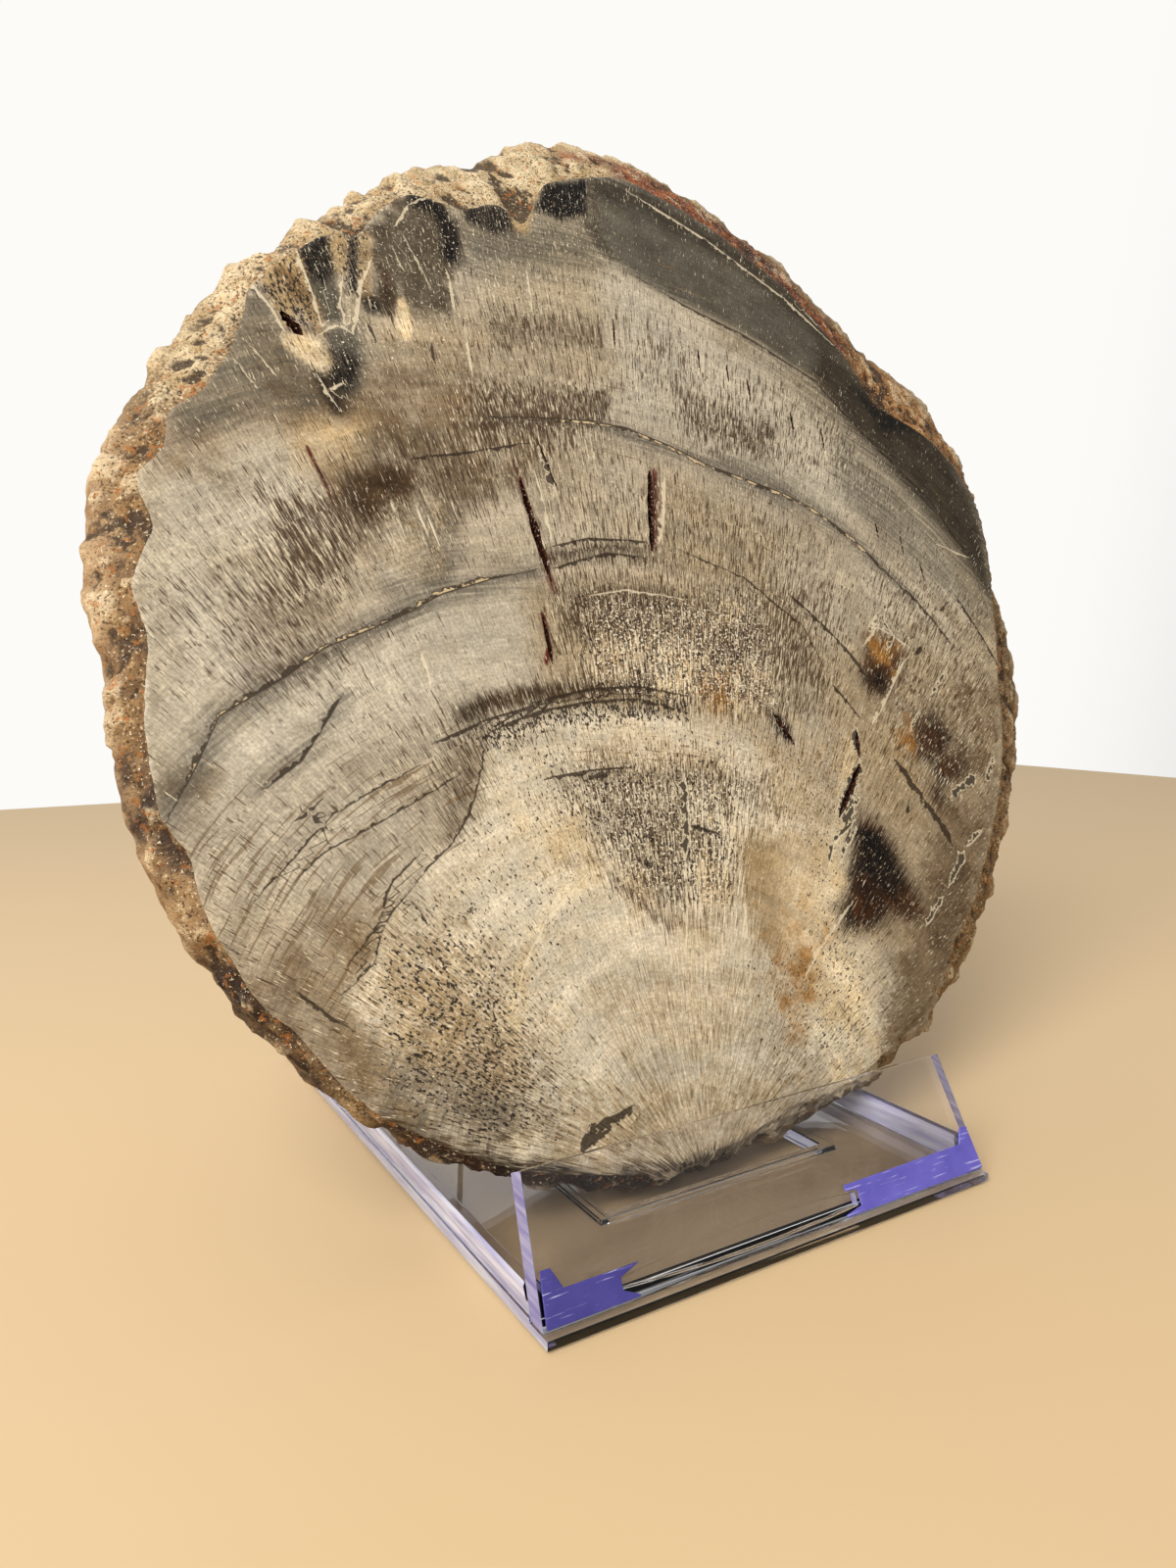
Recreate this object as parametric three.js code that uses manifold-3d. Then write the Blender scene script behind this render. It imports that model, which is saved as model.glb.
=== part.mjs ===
// A slice of petrified wood leaning on a small clear stand.
// Millimetres, +Z up. The stand's front edge faces -Y and its width runs along X.
// The slice has its own plane: x to the right, y up the sawn face, z out of the face.

import * as THREE from 'three';
import { mergeVertices } from 'three/addons/utils/BufferGeometryUtils.js';
import Module from 'manifold-3d';

const wasm = await Module();
wasm.setup();

// Slice
const sliceThickness = 20;
const sliceLean = THREE.MathUtils.degToRad(20);   // back from upright
const sliceFoot = { y: 25.1, z: 6.15 };           // where the face's y = 0 line stands
const sliceCentre = { x: 22, y: 112 };            // the outlines are read around this point
const outlineSteps = 288;                         // points round the slice
const lumpSize = 8.5;                             // bark knobs
const lumpHeight = 2.0;
const grainSize = 3.6;                            // smaller bumps on the knobs
const grainHeight = 0.7;
const leastBark = 1;                              // bark left outside the face where it is thinnest

// Stand
const standWidth = 100.9;
const standDepth = 142;
const plateThickness = 2.2;
const wallHeight = 6.7;
const wallWidth = 3.6;
const windowFrame = { left: -27.1, right: 30, front: 22.6, back: 70, width: 2.4, height: 0.8 };
const lipLean = THREE.MathUtils.degToRad(26.9);
const lipLength = 25.5;                           // up the slope
const lipThickness = 3.6;
const lipTaper = 1.9;                             // narrower at the top by this much at each end
const flange = { height: 1.6, forward: 0.5 };
const scoop = {
  left: -35.3, right: 16.3, leftHeights: [4.45, 5.85], rightHeights: [3.95, 6.15], bowHeights: [2.3, 8.2],
  depth: 1.4,
};
const film = { clear: 0.4, endInset: 0.6, slant: 0.8, earHeight: 10.8, earWidth: 3.4, thickness: 0.4 };
const rest = { width: 60, sheet: 3, frontFoot: 73.5, ridgeUpSlice: 112, rearFoot: 129 };
const ridgeCrown = [[1.6, -2.2], [0.9, -0.4], [0, 0]];   // how the rest's ridge rounds over
const gap = 0.3;                                  // left between pieces that touch
const cutterReach = 20;                           // how far cutting shapes go past what they cut
const overlap = 1;                                // how far joined shapes go into each other

// The tray wall's section: in from its outer side, and up.
const wallProfile = [
  [0, 0], [0, 1.9], [0.5, 2.2], [0.5, 4.1], [0.15, 4.4], [0.15, 6.2], [0.6, wallHeight],
  [2.2, wallHeight], [3.0, 5.6], [wallWidth, plateThickness], [wallWidth, 0],
];

// The torn inner end of each film, from its top down to the foot of the lip: x and height.
const leftFilmEnd = [[-31.6, 7.5], [-35.6, 6.1], [-35.6, 4.2], [-32.8, 2.9]];
const rightFilmEnd = [[13.8, 7.9], [13.8, 6.8], [16.7, 6.5], [16.7, 3.7], [12.6, 3.0]];

// Edge of the polished face, clockwise from the lowest point. The bark begins here.
const faceEdge = [
  [-12, 1], [4, 2], [23, 6], [44.5, 8], [58.5, 14], [71.5, 21], [81.5, 30.5], [96.5, 43.5],
  [106.5, 56.5], [114, 66.5], [122, 83.5], [126, 98], [131, 115], [135, 130], [138, 146],
  [137, 155.5], [133, 164.5], [125.5, 172.5], [111.5, 178.5], [104.5, 180.5], [99.5, 191.5],
  [94.5, 199.5], [87.5, 206.5], [79.5, 214.5], [70, 219.5], [58, 226.5], [44, 231.5], [31, 234.5],
  [18, 230.5], [7, 225.5], [2.5, 217.5], [-1.5, 210.5], [-6.5, 216.5], [-16.5, 211.5],
  [-29.5, 212.5], [-37.5, 205.5], [-42.5, 198.5], [-50.5, 196.5], [-59.5, 188.5], [-67.5, 180],
  [-69.5, 172], [-73.5, 163], [-79, 155], [-85, 151], [-86, 143], [-92, 137], [-89, 128],
  [-94, 117], [-92, 106.5], [-94, 93.5], [-93, 75.5], [-89, 68.5], [-88, 59.5], [-84.5, 51.5],
  [-81.5, 44.5], [-75.5, 38], [-69.5, 29], [-64.5, 23], [-54.5, 16], [-40.5, 8], [-27, 4],
];

// Widest outline of the bark, a few millimetres behind the face, the same way round.
const barkEdge = [
  [-9, -3], [4, -2], [17, -1], [32, 2], [48.5, 4.5], [59.5, 9], [73.5, 14], [86.5, 23.5],
  [97.5, 32.5], [106.5, 40.5], [111.5, 48.5], [119, 58.5], [128, 71.5], [136, 85.5], [140, 97],
  [142, 109], [142, 121], [140, 133], [142, 147], [143, 158.5], [143, 170.5], [140.5, 177.5],
  [135.5, 181.5], [135.5, 188.5], [128.5, 195.5], [118.5, 199.5], [110.5, 203.5], [102.5, 212.5],
  [91.5, 221.5], [83.5, 229.5], [74, 230.5], [64, 237.5], [52, 241.5], [43, 244.5], [32, 246.5],
  [21, 245.5], [11, 242.5], [2.5, 239.5], [-6.5, 233.5], [-17.5, 227.5], [-28.5, 223.5],
  [-37.5, 215.5], [-44.5, 208.5], [-54.5, 201.5], [-61.5, 193.5], [-69.5, 186], [-77, 178],
  [-83, 169], [-88, 159], [-94, 150], [-98, 139], [-100, 129], [-101, 117], [-99, 105.5],
  [-99, 93.5], [-98, 83.5], [-96, 73.5], [-93, 61.5], [-88, 51.5], [-83.5, 42.5], [-76.5, 35],
  [-71.5, 27], [-63.5, 20], [-53.5, 13], [-43.5, 7.5], [-33.5, 3.5], [-25, 0.5], [-17, -2],
];

// The rim from the face to the back: depth behind the face, how far from the face's edge to the
// widest outline, how far inside that outline, and how much of the bark's relief shows.
const rimRows = [
  { depth: 0, out: 0, inset: 0, relief: 0.12 },
  { depth: 1.1, out: 0.34, inset: 0, relief: 0.35 },
  { depth: 3.0, out: 0.72, inset: 0, relief: 0.8 },
  { depth: 5.6, out: 1, inset: 0, relief: 1 },
  { depth: 8.6, out: 1, inset: 0.5, relief: 1 },
  { depth: 11.8, out: 1, inset: 1.6, relief: 0.9 },
  { depth: 14.8, out: 1, inset: 3.2, relief: 0.8 },
  { depth: 17.6, out: 1, inset: 4.8, relief: 0.5 },
  { depth: 20, out: 1, inset: 6.6, relief: 0.2 },
];

// Open splits in the face, as lens shapes: middle, length, width, direction and depth.
// They run along the rays, which spread from the pith.
const pith = { x: -2.3, y: -5.7 };
const splits = [
  { x: -12.9, y: 133, length: 24, width: 2.6, turn: 3, depth: 5 },
  { x: -14.8, y: 108, length: 10.8, width: 1.4, turn: -5, depth: 3 },
  { x: 18.8, y: 140.6, length: 21.4, width: 2.6, turn: -3, depth: 5 },
  { x: -6.7, y: 148.8, length: 12.3, width: 0.8, turn: 12, depth: 2 },
  { x: 18.8, y: 186.8, length: 9, width: 0.8, turn: -2, depth: 2 },
  { x: 43.7, y: 184.7, length: 5.8, width: 0.9, turn: 5, depth: 2 },
  { x: 52.3, y: 182, length: 5.2, width: 0.9, turn: 12, depth: 2 },
  { x: 58.3, y: 178.5, length: 6.3, width: 1.0, turn: 15, depth: 2 },
  { x: 70.9, y: 170.7, length: 6.4, width: 1.0, turn: 18, depth: 2 },
  { x: 80.8, y: 167.5, length: 6.5, width: 1.0, turn: 21, depth: 2 },
  { x: 92.9, y: 141.4, length: 5.8, width: 0.9, turn: 29, depth: 2 },
  { x: 101.2, y: 137.8, length: 5.5, width: 0.9, turn: 32, depth: 2 },
  { x: 106.6, y: 130.5, length: 5.2, width: 0.9, turn: 40, depth: 2 },
  { x: 66.9, y: 82.6, length: 7, width: 1.7, turn: 28, depth: 3 },
  { x: 60.6, y: 71.3, length: 17, width: 2.2, turn: -2, depth: 3 },
  { x: 44.2, y: 87.1, length: 9, width: 2.4, turn: 56, depth: 2.5 },
  { x: -59.8, y: 173.7, length: 6, width: 3.2, turn: 22, depth: 4 },
];

// Repeatable noise from a lattice of scattered values.
function scatter(i, j, k) {
  const s = Math.sin(i * 127.1 + j * 311.7 + k * 74.7) * 43758.5453;
  return s - Math.floor(s);
}

function softNoise(x, y, z) {
  const i = Math.floor(x), j = Math.floor(y), k = Math.floor(z);
  const ease = (t) => t * t * (3 - 2 * t);
  const u = ease(x - i), v = ease(y - j), w = ease(z - k);
  const mix = THREE.MathUtils.lerp;
  const layer = (kk) => mix(
    mix(scatter(i, j, kk), scatter(i + 1, j, kk), u),
    mix(scatter(i, j + 1, kk), scatter(i + 1, j + 1, kk), u), v);
  return mix(layer(k), layer(k + 1), w);
}

// Rounded knobs with creases between them: 1 at the middle of a knob, 0 in a crease.
function knobs(x, y, z) {
  const i = Math.floor(x), j = Math.floor(y), k = Math.floor(z);
  let nearest = 9;
  let second = 9;
  for (let di = -1; di <= 1; di++) {
    for (let dj = -1; dj <= 1; dj++) {
      for (let dk = -1; dk <= 1; dk++) {
        const ci = i + di, cj = j + dj, ck = k + dk;
        const d = Math.hypot(
          ci + scatter(ci, cj, ck) - x,
          cj + scatter(cj, ck, ci + 5) - y,
          ck + scatter(ck, ci, cj + 9) - z);
        if (d < nearest) {
          second = nearest;
          nearest = d;
        } else if (d < second) {
          second = d;
        }
      }
    }
  }
  return Math.min(1, (second - nearest) * 1.8);
}

// How far the bark stands out at a point of the rim.
function barkRelief(x, y, z) {
  const knob = knobs(x / lumpSize, y / lumpSize, z / lumpSize) - 0.5;
  const grain = softNoise(x / grainSize, y / grainSize, z / grainSize) - 0.5;
  return knob * lumpHeight + grain * 2 * grainHeight;
}

// An outline as a radius for each direction round the slice's centre.
function radialOutline(points) {
  const spokes = points.map(([x, y]) => {
    const dx = x - sliceCentre.x, dy = y - sliceCentre.y;
    return { angle: Math.atan2(dy, dx), radius: Math.hypot(dx, dy) };
  }).sort((a, b) => a.angle - b.angle);
  return (angle) => {
    let next = spokes.findIndex((s) => s.angle > angle);
    if (next < 0) next = 0;
    const after = spokes[next];
    const before = spokes[(next + spokes.length - 1) % spokes.length];
    const turn = 2 * Math.PI;
    const span = (after.angle - before.angle + turn) % turn;
    const along = (angle - before.angle + turn) % turn;
    return THREE.MathUtils.lerp(before.radius, after.radius, span > 0 ? along / span : 0);
  };
}

// A closed solid from loops of points in order, the first and last loops filled in.
// Each loop goes anticlockwise seen from the side of the first one.
function loft(loops, flatten) {
  const count = loops[0].length;
  const positions = loops.flat().flatMap((p) => [p.x, p.y, p.z]);
  const indices = [];
  for (let row = 0; row + 1 < loops.length; row++) {
    for (let i = 0; i < count; i++) {
      const a = row * count + i;
      const b = row * count + (i + 1) % count;
      indices.push(a, a + count, b, b, a + count, b + count);
    }
  }
  const last = (loops.length - 1) * count;
  for (const [a, b, c] of THREE.ShapeUtils.triangulateShape(loops[0].map(flatten), [])) {
    indices.push(a, b, c);
  }
  for (const [a, b, c] of THREE.ShapeUtils.triangulateShape(loops.at(-1).map(flatten), [])) {
    indices.push(last + a, last + c, last + b);
  }
  const geometry = new THREE.BufferGeometry();
  geometry.setAttribute('position', new THREE.Float32BufferAttribute(positions, 3));
  geometry.setIndex(indices);
  return geometry;
}

function toSolid(geometry) {
  const bare = geometry.clone();
  bare.deleteAttribute('normal');
  bare.deleteAttribute('uv');
  const merged = mergeVertices(bare, 1e-4);
  return new wasm.Manifold(new wasm.Mesh({
    numProp: 3,
    vertProperties: new Float32Array(merged.attributes.position.array),
    triVerts: new Uint32Array(merged.index.array),
  }));
}

function toGeometry(solid) {
  const mesh = solid.getMesh();
  const geometry = new THREE.BufferGeometry();
  geometry.setAttribute('position', new THREE.Float32BufferAttribute(mesh.vertProperties, 3));
  geometry.setIndex(Array.from(mesh.triVerts));
  return geometry;
}

// A flat outline pushed along X, its points given as [y, z].
function extrudeAlongX(profile, width) {
  const shape = new THREE.Shape(profile.map(([y, z]) => new THREE.Vector2(y, z)));
  const geometry = new THREE.ExtrudeGeometry(shape, { depth: width, bevelEnabled: false });
  geometry.applyMatrix4(new THREE.Matrix4().makeBasis(
    new THREE.Vector3(0, 1, 0), new THREE.Vector3(0, 0, 1), new THREE.Vector3(1, 0, 0)));
  return geometry.translate(-width / 2, 0, 0);
}

function block(x0, x1, y0, y1, z0, z1) {
  const geometry = new THREE.BoxGeometry(x1 - x0, y1 - y0, z1 - z0);
  return geometry.translate((x0 + x1) / 2, (y0 + y1) / 2, (z0 + z1) / 2);
}

// The slice: a sawn, polished face, a knobbly rim of bark and a plain sawn back.
function makeSlice() {
  const faceRadius = radialOutline(faceEdge);
  const barkRadius = radialOutline(barkEdge);
  const loops = rimRows.map((row) => {
    const loop = [];
    for (let i = 0; i < outlineSteps; i++) {
      const angle = -Math.PI + (i / outlineSteps) * 2 * Math.PI;
      const face = faceRadius(angle);
      const widest = Math.max(barkRadius(angle), face + leastBark);
      const plain = THREE.MathUtils.lerp(face, widest, row.out) - row.inset;
      const x = Math.cos(angle), y = Math.sin(angle);
      const relief = barkRelief(x * plain, y * plain, row.depth) * row.relief;
      const radius = plain + relief;
      loop.push(new THREE.Vector3(sliceCentre.x + x * radius, sliceCentre.y + y * radius, -row.depth));
    }
    return loop;
  });
  let solid = toSolid(loft(loops, (p) => new THREE.Vector2(p.x, p.y)));
  for (const split of splits) {
    solid = solid.subtract(toSolid(splitCutter(split)));
  }
  return toGeometry(solid);
}

// A lens-shaped plug that leaves an open split in the face when it is taken away.
function splitCutter({ x, y, length, width, turn, depth }) {
  const half = length / 2;
  const shape = new THREE.Shape();
  shape.moveTo(0, -half);
  shape.quadraticCurveTo(width, 0, 0, half);
  shape.quadraticCurveTo(-width, 0, 0, -half);
  const geometry = new THREE.ExtrudeGeometry(shape, { depth: depth + 1, bevelEnabled: false, curveSegments: 5 });
  const ray = Math.atan2(x - pith.x, y - pith.y);
  geometry.rotateZ(-ray + THREE.MathUtils.degToRad(turn));
  return geometry.translate(x, y, -depth);
}

// The tray: a plate with a framed window, low walls on three sides and a flange for the lip.
function makeTray() {
  const half = standWidth / 2;
  const { left, right, front, back, width, height } = windowFrame;
  const lipBack = (z) => z * Math.tan(lipLean) + lipThickness / Math.cos(lipLean) + gap;
  const wallShape = new THREE.Shape(wallProfile.map(([x, z]) => new THREE.Vector2(x, z)));
  const sideWall = new THREE.ExtrudeGeometry(wallShape, { depth: standDepth, bevelEnabled: false });
  sideWall.applyMatrix4(new THREE.Matrix4().makeBasis(
    new THREE.Vector3(1, 0, 0), new THREE.Vector3(0, 0, 1), new THREE.Vector3(0, -1, 0)));
  const leftWall = toSolid(sideWall.clone().translate(-half, standDepth, 0));
  const rightWall = toSolid(sideWall.clone().translate(-half, 0, 0).rotateZ(Math.PI));
  const wallEnd = half - overlap;
  const backWall = toSolid(block(-wallEnd, wallEnd, standDepth - wallWidth, standDepth, 0, wallHeight));
  const plate = toSolid(block(-half, half, -flange.forward, standDepth, 0, plateThickness));
  const frame = toSolid(block(left, right, front, back, 0, plateThickness + height));
  const opening = toSolid(block(left + width, right - width, front + width, back - width, -overlap, 5 * overlap));
  // Room for the lip: everything in front of the lip's back, above the flange.
  const roomTop = wallHeight + overlap;
  const lipRoom = toSolid(extrudeAlongX([
    [-cutterReach, flange.height], [lipBack(flange.height), flange.height], [lipBack(roomTop), roomTop],
    [-cutterReach, roomTop],
  ], standWidth + 10 * overlap));
  const body = plate.add(leftWall).add(rightWall).add(backWall).add(frame);
  return toGeometry(body.subtract(opening).subtract(lipRoom));
}

// The lip: a plate that leans back and tapers a little, with a long finger scoop low in its face.
function makeLip() {
  const sin = Math.sin(lipLean), cos = Math.cos(lipLean);
  const along = (b, d) => [b * sin + d * cos, b * cos - d * sin];
  const footHeight = flange.height + gap;
  const foot = (d) => along((footHeight + d * sin) / cos, d);
  const loopAt = (inset, low, high) => {
    const x = standWidth / 2 - inset;
    return [[-x, low], [x, low], [x, high], [-x, high]].map(([px, [y, z]]) => new THREE.Vector3(px, y, z));
  };
  const bottom = loopAt(lipTaper * (footHeight / lipLength), foot(0), foot(lipThickness));
  const top = loopAt(lipTaper, along(lipLength, 0), along(lipLength, lipThickness));
  const body = toSolid(loft([top, bottom], (p) => new THREE.Vector2(p.x, p.y)));
  const { left, right, leftHeights, rightHeights, bowHeights, depth } = scoop;
  const scoopShape = new THREE.Shape();
  scoopShape.moveTo(left, leftHeights[1]);
  scoopShape.quadraticCurveTo((left + right) / 2, bowHeights[1], right, rightHeights[1]);
  scoopShape.lineTo(right, rightHeights[0]);
  scoopShape.quadraticCurveTo((left + right) / 2, bowHeights[0], left, leftHeights[0]);
  const cutter = new THREE.ExtrudeGeometry(scoopShape, {
    depth: depth + cutterReach, bevelEnabled: false, curveSegments: 14,
  });
  cutter.translate(0, 0, -depth).rotateX(Math.PI / 2 - lipLean);
  return toGeometry(body.subtract(toSolid(cutter)));
}

// A strip of tinted film on the foot of the lip, with an ear at the stand's corner.
// The side is -1 for the left and 1 for the right.
function makeFilm(side, innerEnd) {
  const low = (flange.height + gap) / Math.cos(lipLean) + film.clear;
  const end = standWidth / 2 - film.endInset;
  const { slant, earHeight, earWidth } = film;
  const shape = new THREE.Shape([
    [innerEnd.at(-1)[0], low], [side * end, low], [side * (end - slant), earHeight],
    [side * (end - earWidth + slant), earHeight], [side * (end - earWidth - slant), innerEnd[0][1]], ...innerEnd,
  ].map(([x, y]) => new THREE.Vector2(x, y)));
  const geometry = new THREE.ExtrudeGeometry(shape, { depth: film.thickness, bevelEnabled: false });
  return geometry.translate(0, 0, gap).rotateX(Math.PI / 2 - lipLean);
}

// The back rest: one sheet bent over a ridge that the slice leans on.
function makeBackRest() {
  const sin = Math.sin(sliceLean), cos = Math.cos(sliceLean);
  const ridgeY = sliceFoot.y + sliceThickness * cos + rest.ridgeUpSlice * sin + 2 * gap;
  const ridgeZ = sliceFoot.z - sliceThickness * sin + rest.ridgeUpSlice * cos;
  const low = plateThickness + gap;
  const frontSlope = (ridgeY - rest.frontFoot) / (ridgeZ - low);
  const rearSlope = (rest.rearFoot - ridgeY) / (ridgeZ - low);
  // A sloping sheet takes more room along the plate than its own thickness.
  const frontIn = rest.frontFoot + rest.sheet * Math.hypot(frontSlope, 1);
  const rearIn = rest.rearFoot - rest.sheet * Math.hypot(rearSlope, 1);
  const innerZ = low + (rearIn - frontIn) / (frontSlope + rearSlope);
  const innerY = frontIn + (innerZ - low) * frontSlope;
  return extrudeAlongX([
    [rest.frontFoot, low], [frontIn, low], [innerY, innerZ], [rearIn, low], [rest.rearFoot, low],
    ...ridgeCrown.map(([y, z]) => [ridgeY + y, ridgeZ + z]),
  ], rest.width);
}

function finish(color, roughness, opacity = 1) {
  return new THREE.MeshStandardMaterial({
    color, roughness, metalness: 0, transparent: opacity < 1, opacity,
  });
}

function addMesh(parent, name, geometry, material) {
  const mesh = new THREE.Mesh(geometry, material);
  mesh.name = name;
  parent.add(mesh);
}

const stand = new THREE.Group();
addMesh(stand, 'stand_tray', makeTray(), finish('#dfe3ea', 0.08, 0.35));
addMesh(stand, 'front_lip', makeLip(), finish('#e2e5ee', 0.06, 0.35));
addMesh(stand, 'film_left', makeFilm(-1, leftFilmEnd), finish('#5a50a8', 0.3, 0.85));
addMesh(stand, 'film_right', makeFilm(1, rightFilmEnd), finish('#5a50a8', 0.3, 0.85));
addMesh(stand, 'back_rest', makeBackRest(), finish('#e2e5ee', 0.06, 0.35));

const leaning = new THREE.Group();
leaning.position.set(0, sliceFoot.y, sliceFoot.z);
leaning.rotation.x = Math.PI / 2 - sliceLean;
addMesh(leaning, 'stone_slice', makeSlice(), finish('#a09076', 0.35));

const part = new THREE.Group();
part.add(stand, leaning);

// The origin goes to the middle of the whole outline's box, on the surface it stands on.
part.updateMatrixWorld(true);
const box = new THREE.Box3().setFromObject(part, true);
part.position.set(-(box.min.x + box.max.x) / 2, -(box.min.y + box.max.y) / 2, -box.min.z);

export default part;
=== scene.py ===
import math

import bmesh
import bpy
import numpy as np
from mathutils import Matrix, Vector, noise


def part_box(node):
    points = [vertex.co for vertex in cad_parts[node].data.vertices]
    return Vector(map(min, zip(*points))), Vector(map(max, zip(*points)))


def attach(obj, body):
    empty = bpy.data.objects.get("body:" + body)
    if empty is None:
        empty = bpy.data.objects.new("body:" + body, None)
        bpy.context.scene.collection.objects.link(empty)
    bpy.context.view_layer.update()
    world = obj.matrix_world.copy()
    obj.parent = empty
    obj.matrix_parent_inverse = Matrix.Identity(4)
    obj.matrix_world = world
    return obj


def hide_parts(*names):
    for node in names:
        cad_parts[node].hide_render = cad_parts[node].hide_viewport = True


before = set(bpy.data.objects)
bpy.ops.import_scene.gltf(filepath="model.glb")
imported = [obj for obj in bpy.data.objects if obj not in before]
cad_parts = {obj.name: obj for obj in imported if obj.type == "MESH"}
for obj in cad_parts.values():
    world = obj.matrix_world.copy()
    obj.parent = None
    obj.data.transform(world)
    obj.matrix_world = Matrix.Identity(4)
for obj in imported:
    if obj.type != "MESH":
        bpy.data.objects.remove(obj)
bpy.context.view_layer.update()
scene = bpy.context.scene
scene.view_settings.view_transform = "Standard"
mm = 0.001

# Where the photo was taken from, in the stand's own millimetres:
# x along the lip from its middle, y to the back from its front edge, z up.
photo = {
    "width": 1200,
    "height": 1600,
    "focal": 1050.0,              # pixels
    "sensor": 36.0,               # mm, along the photo's longer side
    "eye": (-120.3, -126.0, 100.0),
    "turn": 31.51,                # degrees to the right of straight on
    "tilt": 5.92,                 # degrees down
}

trayLow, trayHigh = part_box("stand_tray")
standOrigin = Vector(((trayLow.x + trayHigh.x) / 2, trayLow.y + 0.5 * mm, 0))

slicePlan = {
    "lean": 20.0,                 # degrees back from upright
    "foot": (25.1, 6.15),         # y and z of the face's lowest line
    "centre": (22.0, 112.0),      # the outlines are read around this point
    "pith": (-2.3, -5.7),         # the rings and rays start here
    "rowDepths": (0, 1.1, 3.0, 5.6, 8.6, 11.8, 14.8, 17.6, 20),
    "cadSteps": 288,              # points round the solid's rim
    "around": 800,                # points round this mesh's rim
    "faceStep": 0.97,             # mm between the rings of points on the face
    "backStep": 4.0,
    "slopeEnd": 3,                # the row of the widest outline
    "slopeRows": 17,              # rows of points from the face's edge out to it
    "sideRows": 11,
    "backEdge": 7,                # the row where the sawn back begins
    "rimSmoothing": 2,
    "knobs": 1.1,                 # mm of rounded knobs on the lumps
    "knobSize": 6.5,
    "knobNoise": (0.9, 2.0, 2),
    "knobRise": 2.5,              # rows behind the face until the knobs are full
    "crust": 0.88,                # mm of fine crust on the knobs
    "crustSize": 2.6,
    "crustNoise": (0.7, 2.1, 4),
    "crustAtFace": 0.25,          # the share of crust at the face's edge, and how much a row adds
    "crustRise": 0.9,
    "crustFall": 0.2,             # and what further rows take off, down to the worn share
    "crustWorn": 0.45,
    "crustOnBack": 0.3,
    "crustForward": 0.5,          # how much of the crust's height also goes forward
    "pits": 0.9,                  # mm deep
    "pitGap": 2.3,                # mm from pit to pit
    "pitReach": 0.42,             # share of the gap that a pit fills
    "wornBelow": (30, 14),        # the lower rim is worn below this height, fading in over so much
    "wornFrom": (-22, 15),        # and to the right of this place
    "wornDepth": (1.9, 3.2),      # mm behind the face, and how uneven that is
    "splitPoints": 12,            # points along each side of an open split
    "splitLevels": ((0.4, 0.85), (1.0, 0.3)),     # share of its depth, and of its width down there
    "splitRagged": (0.75, 0.6),   # a split's plain width, and how uneven that is
    "onFace": 0.02,               # mm; nearer than this is on the face
    "edgeWidth": 1.5,             # mm in from the face's edge where a wall is a split's
    "splitDeepest": 10,
    "backFrom": 19.5,
    "knobSmoothing": 60,
    "knobLimit": 4,
    "sharpFrom": 50,              # degrees
}


def toLinear(hexColour):
    values = [int(hexColour[i:i + 2], 16) / 255 for i in (1, 3, 5)]
    return tuple(v / 12.92 if v <= 0.04045 else ((v + 0.055) / 1.055) ** 2.4 for v in values) + (1,)


def joinUp(tree, node, links):
    # Each link comes from a socket, or from a node's first output.
    for key, source in links.items():
        tree.links.new(source.outputs[0] if hasattr(source, "outputs") else source, node.inputs[key])


def addNode(tree, kind, settings=None, links=None):
    node = tree.nodes.new("ShaderNode" + kind)
    for key, value in (settings or {}).items():
        if isinstance(key, int) or key in node.inputs:
            node.inputs[key].default_value = value
        else:
            setattr(node, key, value)
    joinUp(tree, node, links or {})
    return node


def newMaterial(name, settings):
    material = bpy.data.materials.new(name)
    material.use_nodes = True
    tree = material.node_tree
    tree.nodes.clear()
    shader = addNode(tree, "BsdfPrincipled", settings)
    addNode(tree, "OutputMaterial", {}, {"Surface": shader})
    return material, tree, shader


def meshObject(name, points, faces):
    mesh = bpy.data.meshes.new(name)
    mesh.from_pydata((np.asarray(points, float) * mm).tolist(), [], faces)
    mesh.validate()
    piece = bpy.data.objects.new(name, mesh)
    scene.collection.objects.link(piece)
    return piece


# Camera

turn = math.radians(photo["turn"])
tilt = math.radians(photo["tilt"])
lookAlong = np.array([math.cos(tilt) * math.sin(turn), math.cos(tilt) * math.cos(turn), -math.sin(tilt)])
lookRight = np.array([math.cos(turn), -math.sin(turn), 0])
lookUp = np.cross(lookRight, lookAlong)

camera = bpy.data.objects.new("camera", bpy.data.cameras.new("camera"))
camera.data.sensor_fit = "AUTO"
camera.data.sensor_width = photo["sensor"]
camera.data.lens = photo["sensor"] * photo["focal"] / photo["height"]
camera.data.clip_start = 5 * mm
camera.location = standOrigin + Vector(photo["eye"]) * mm
camera.rotation_euler = Matrix((lookRight, lookUp, -lookAlong)).transposed().to_euler()
scene.collection.objects.link(camera)
scene.camera = camera
print("camera placed")

# Slice, in its own plane: x to the right, y up the face, z out of the face, in millimetres.

lean = math.radians(slicePlan["lean"])
sliceOrigin = standOrigin + Vector((0, *slicePlan["foot"])) * mm
slicePlace = Matrix.Translation(sliceOrigin) @ Matrix.Rotation(math.pi / 2 - lean, 4, "X")


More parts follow.
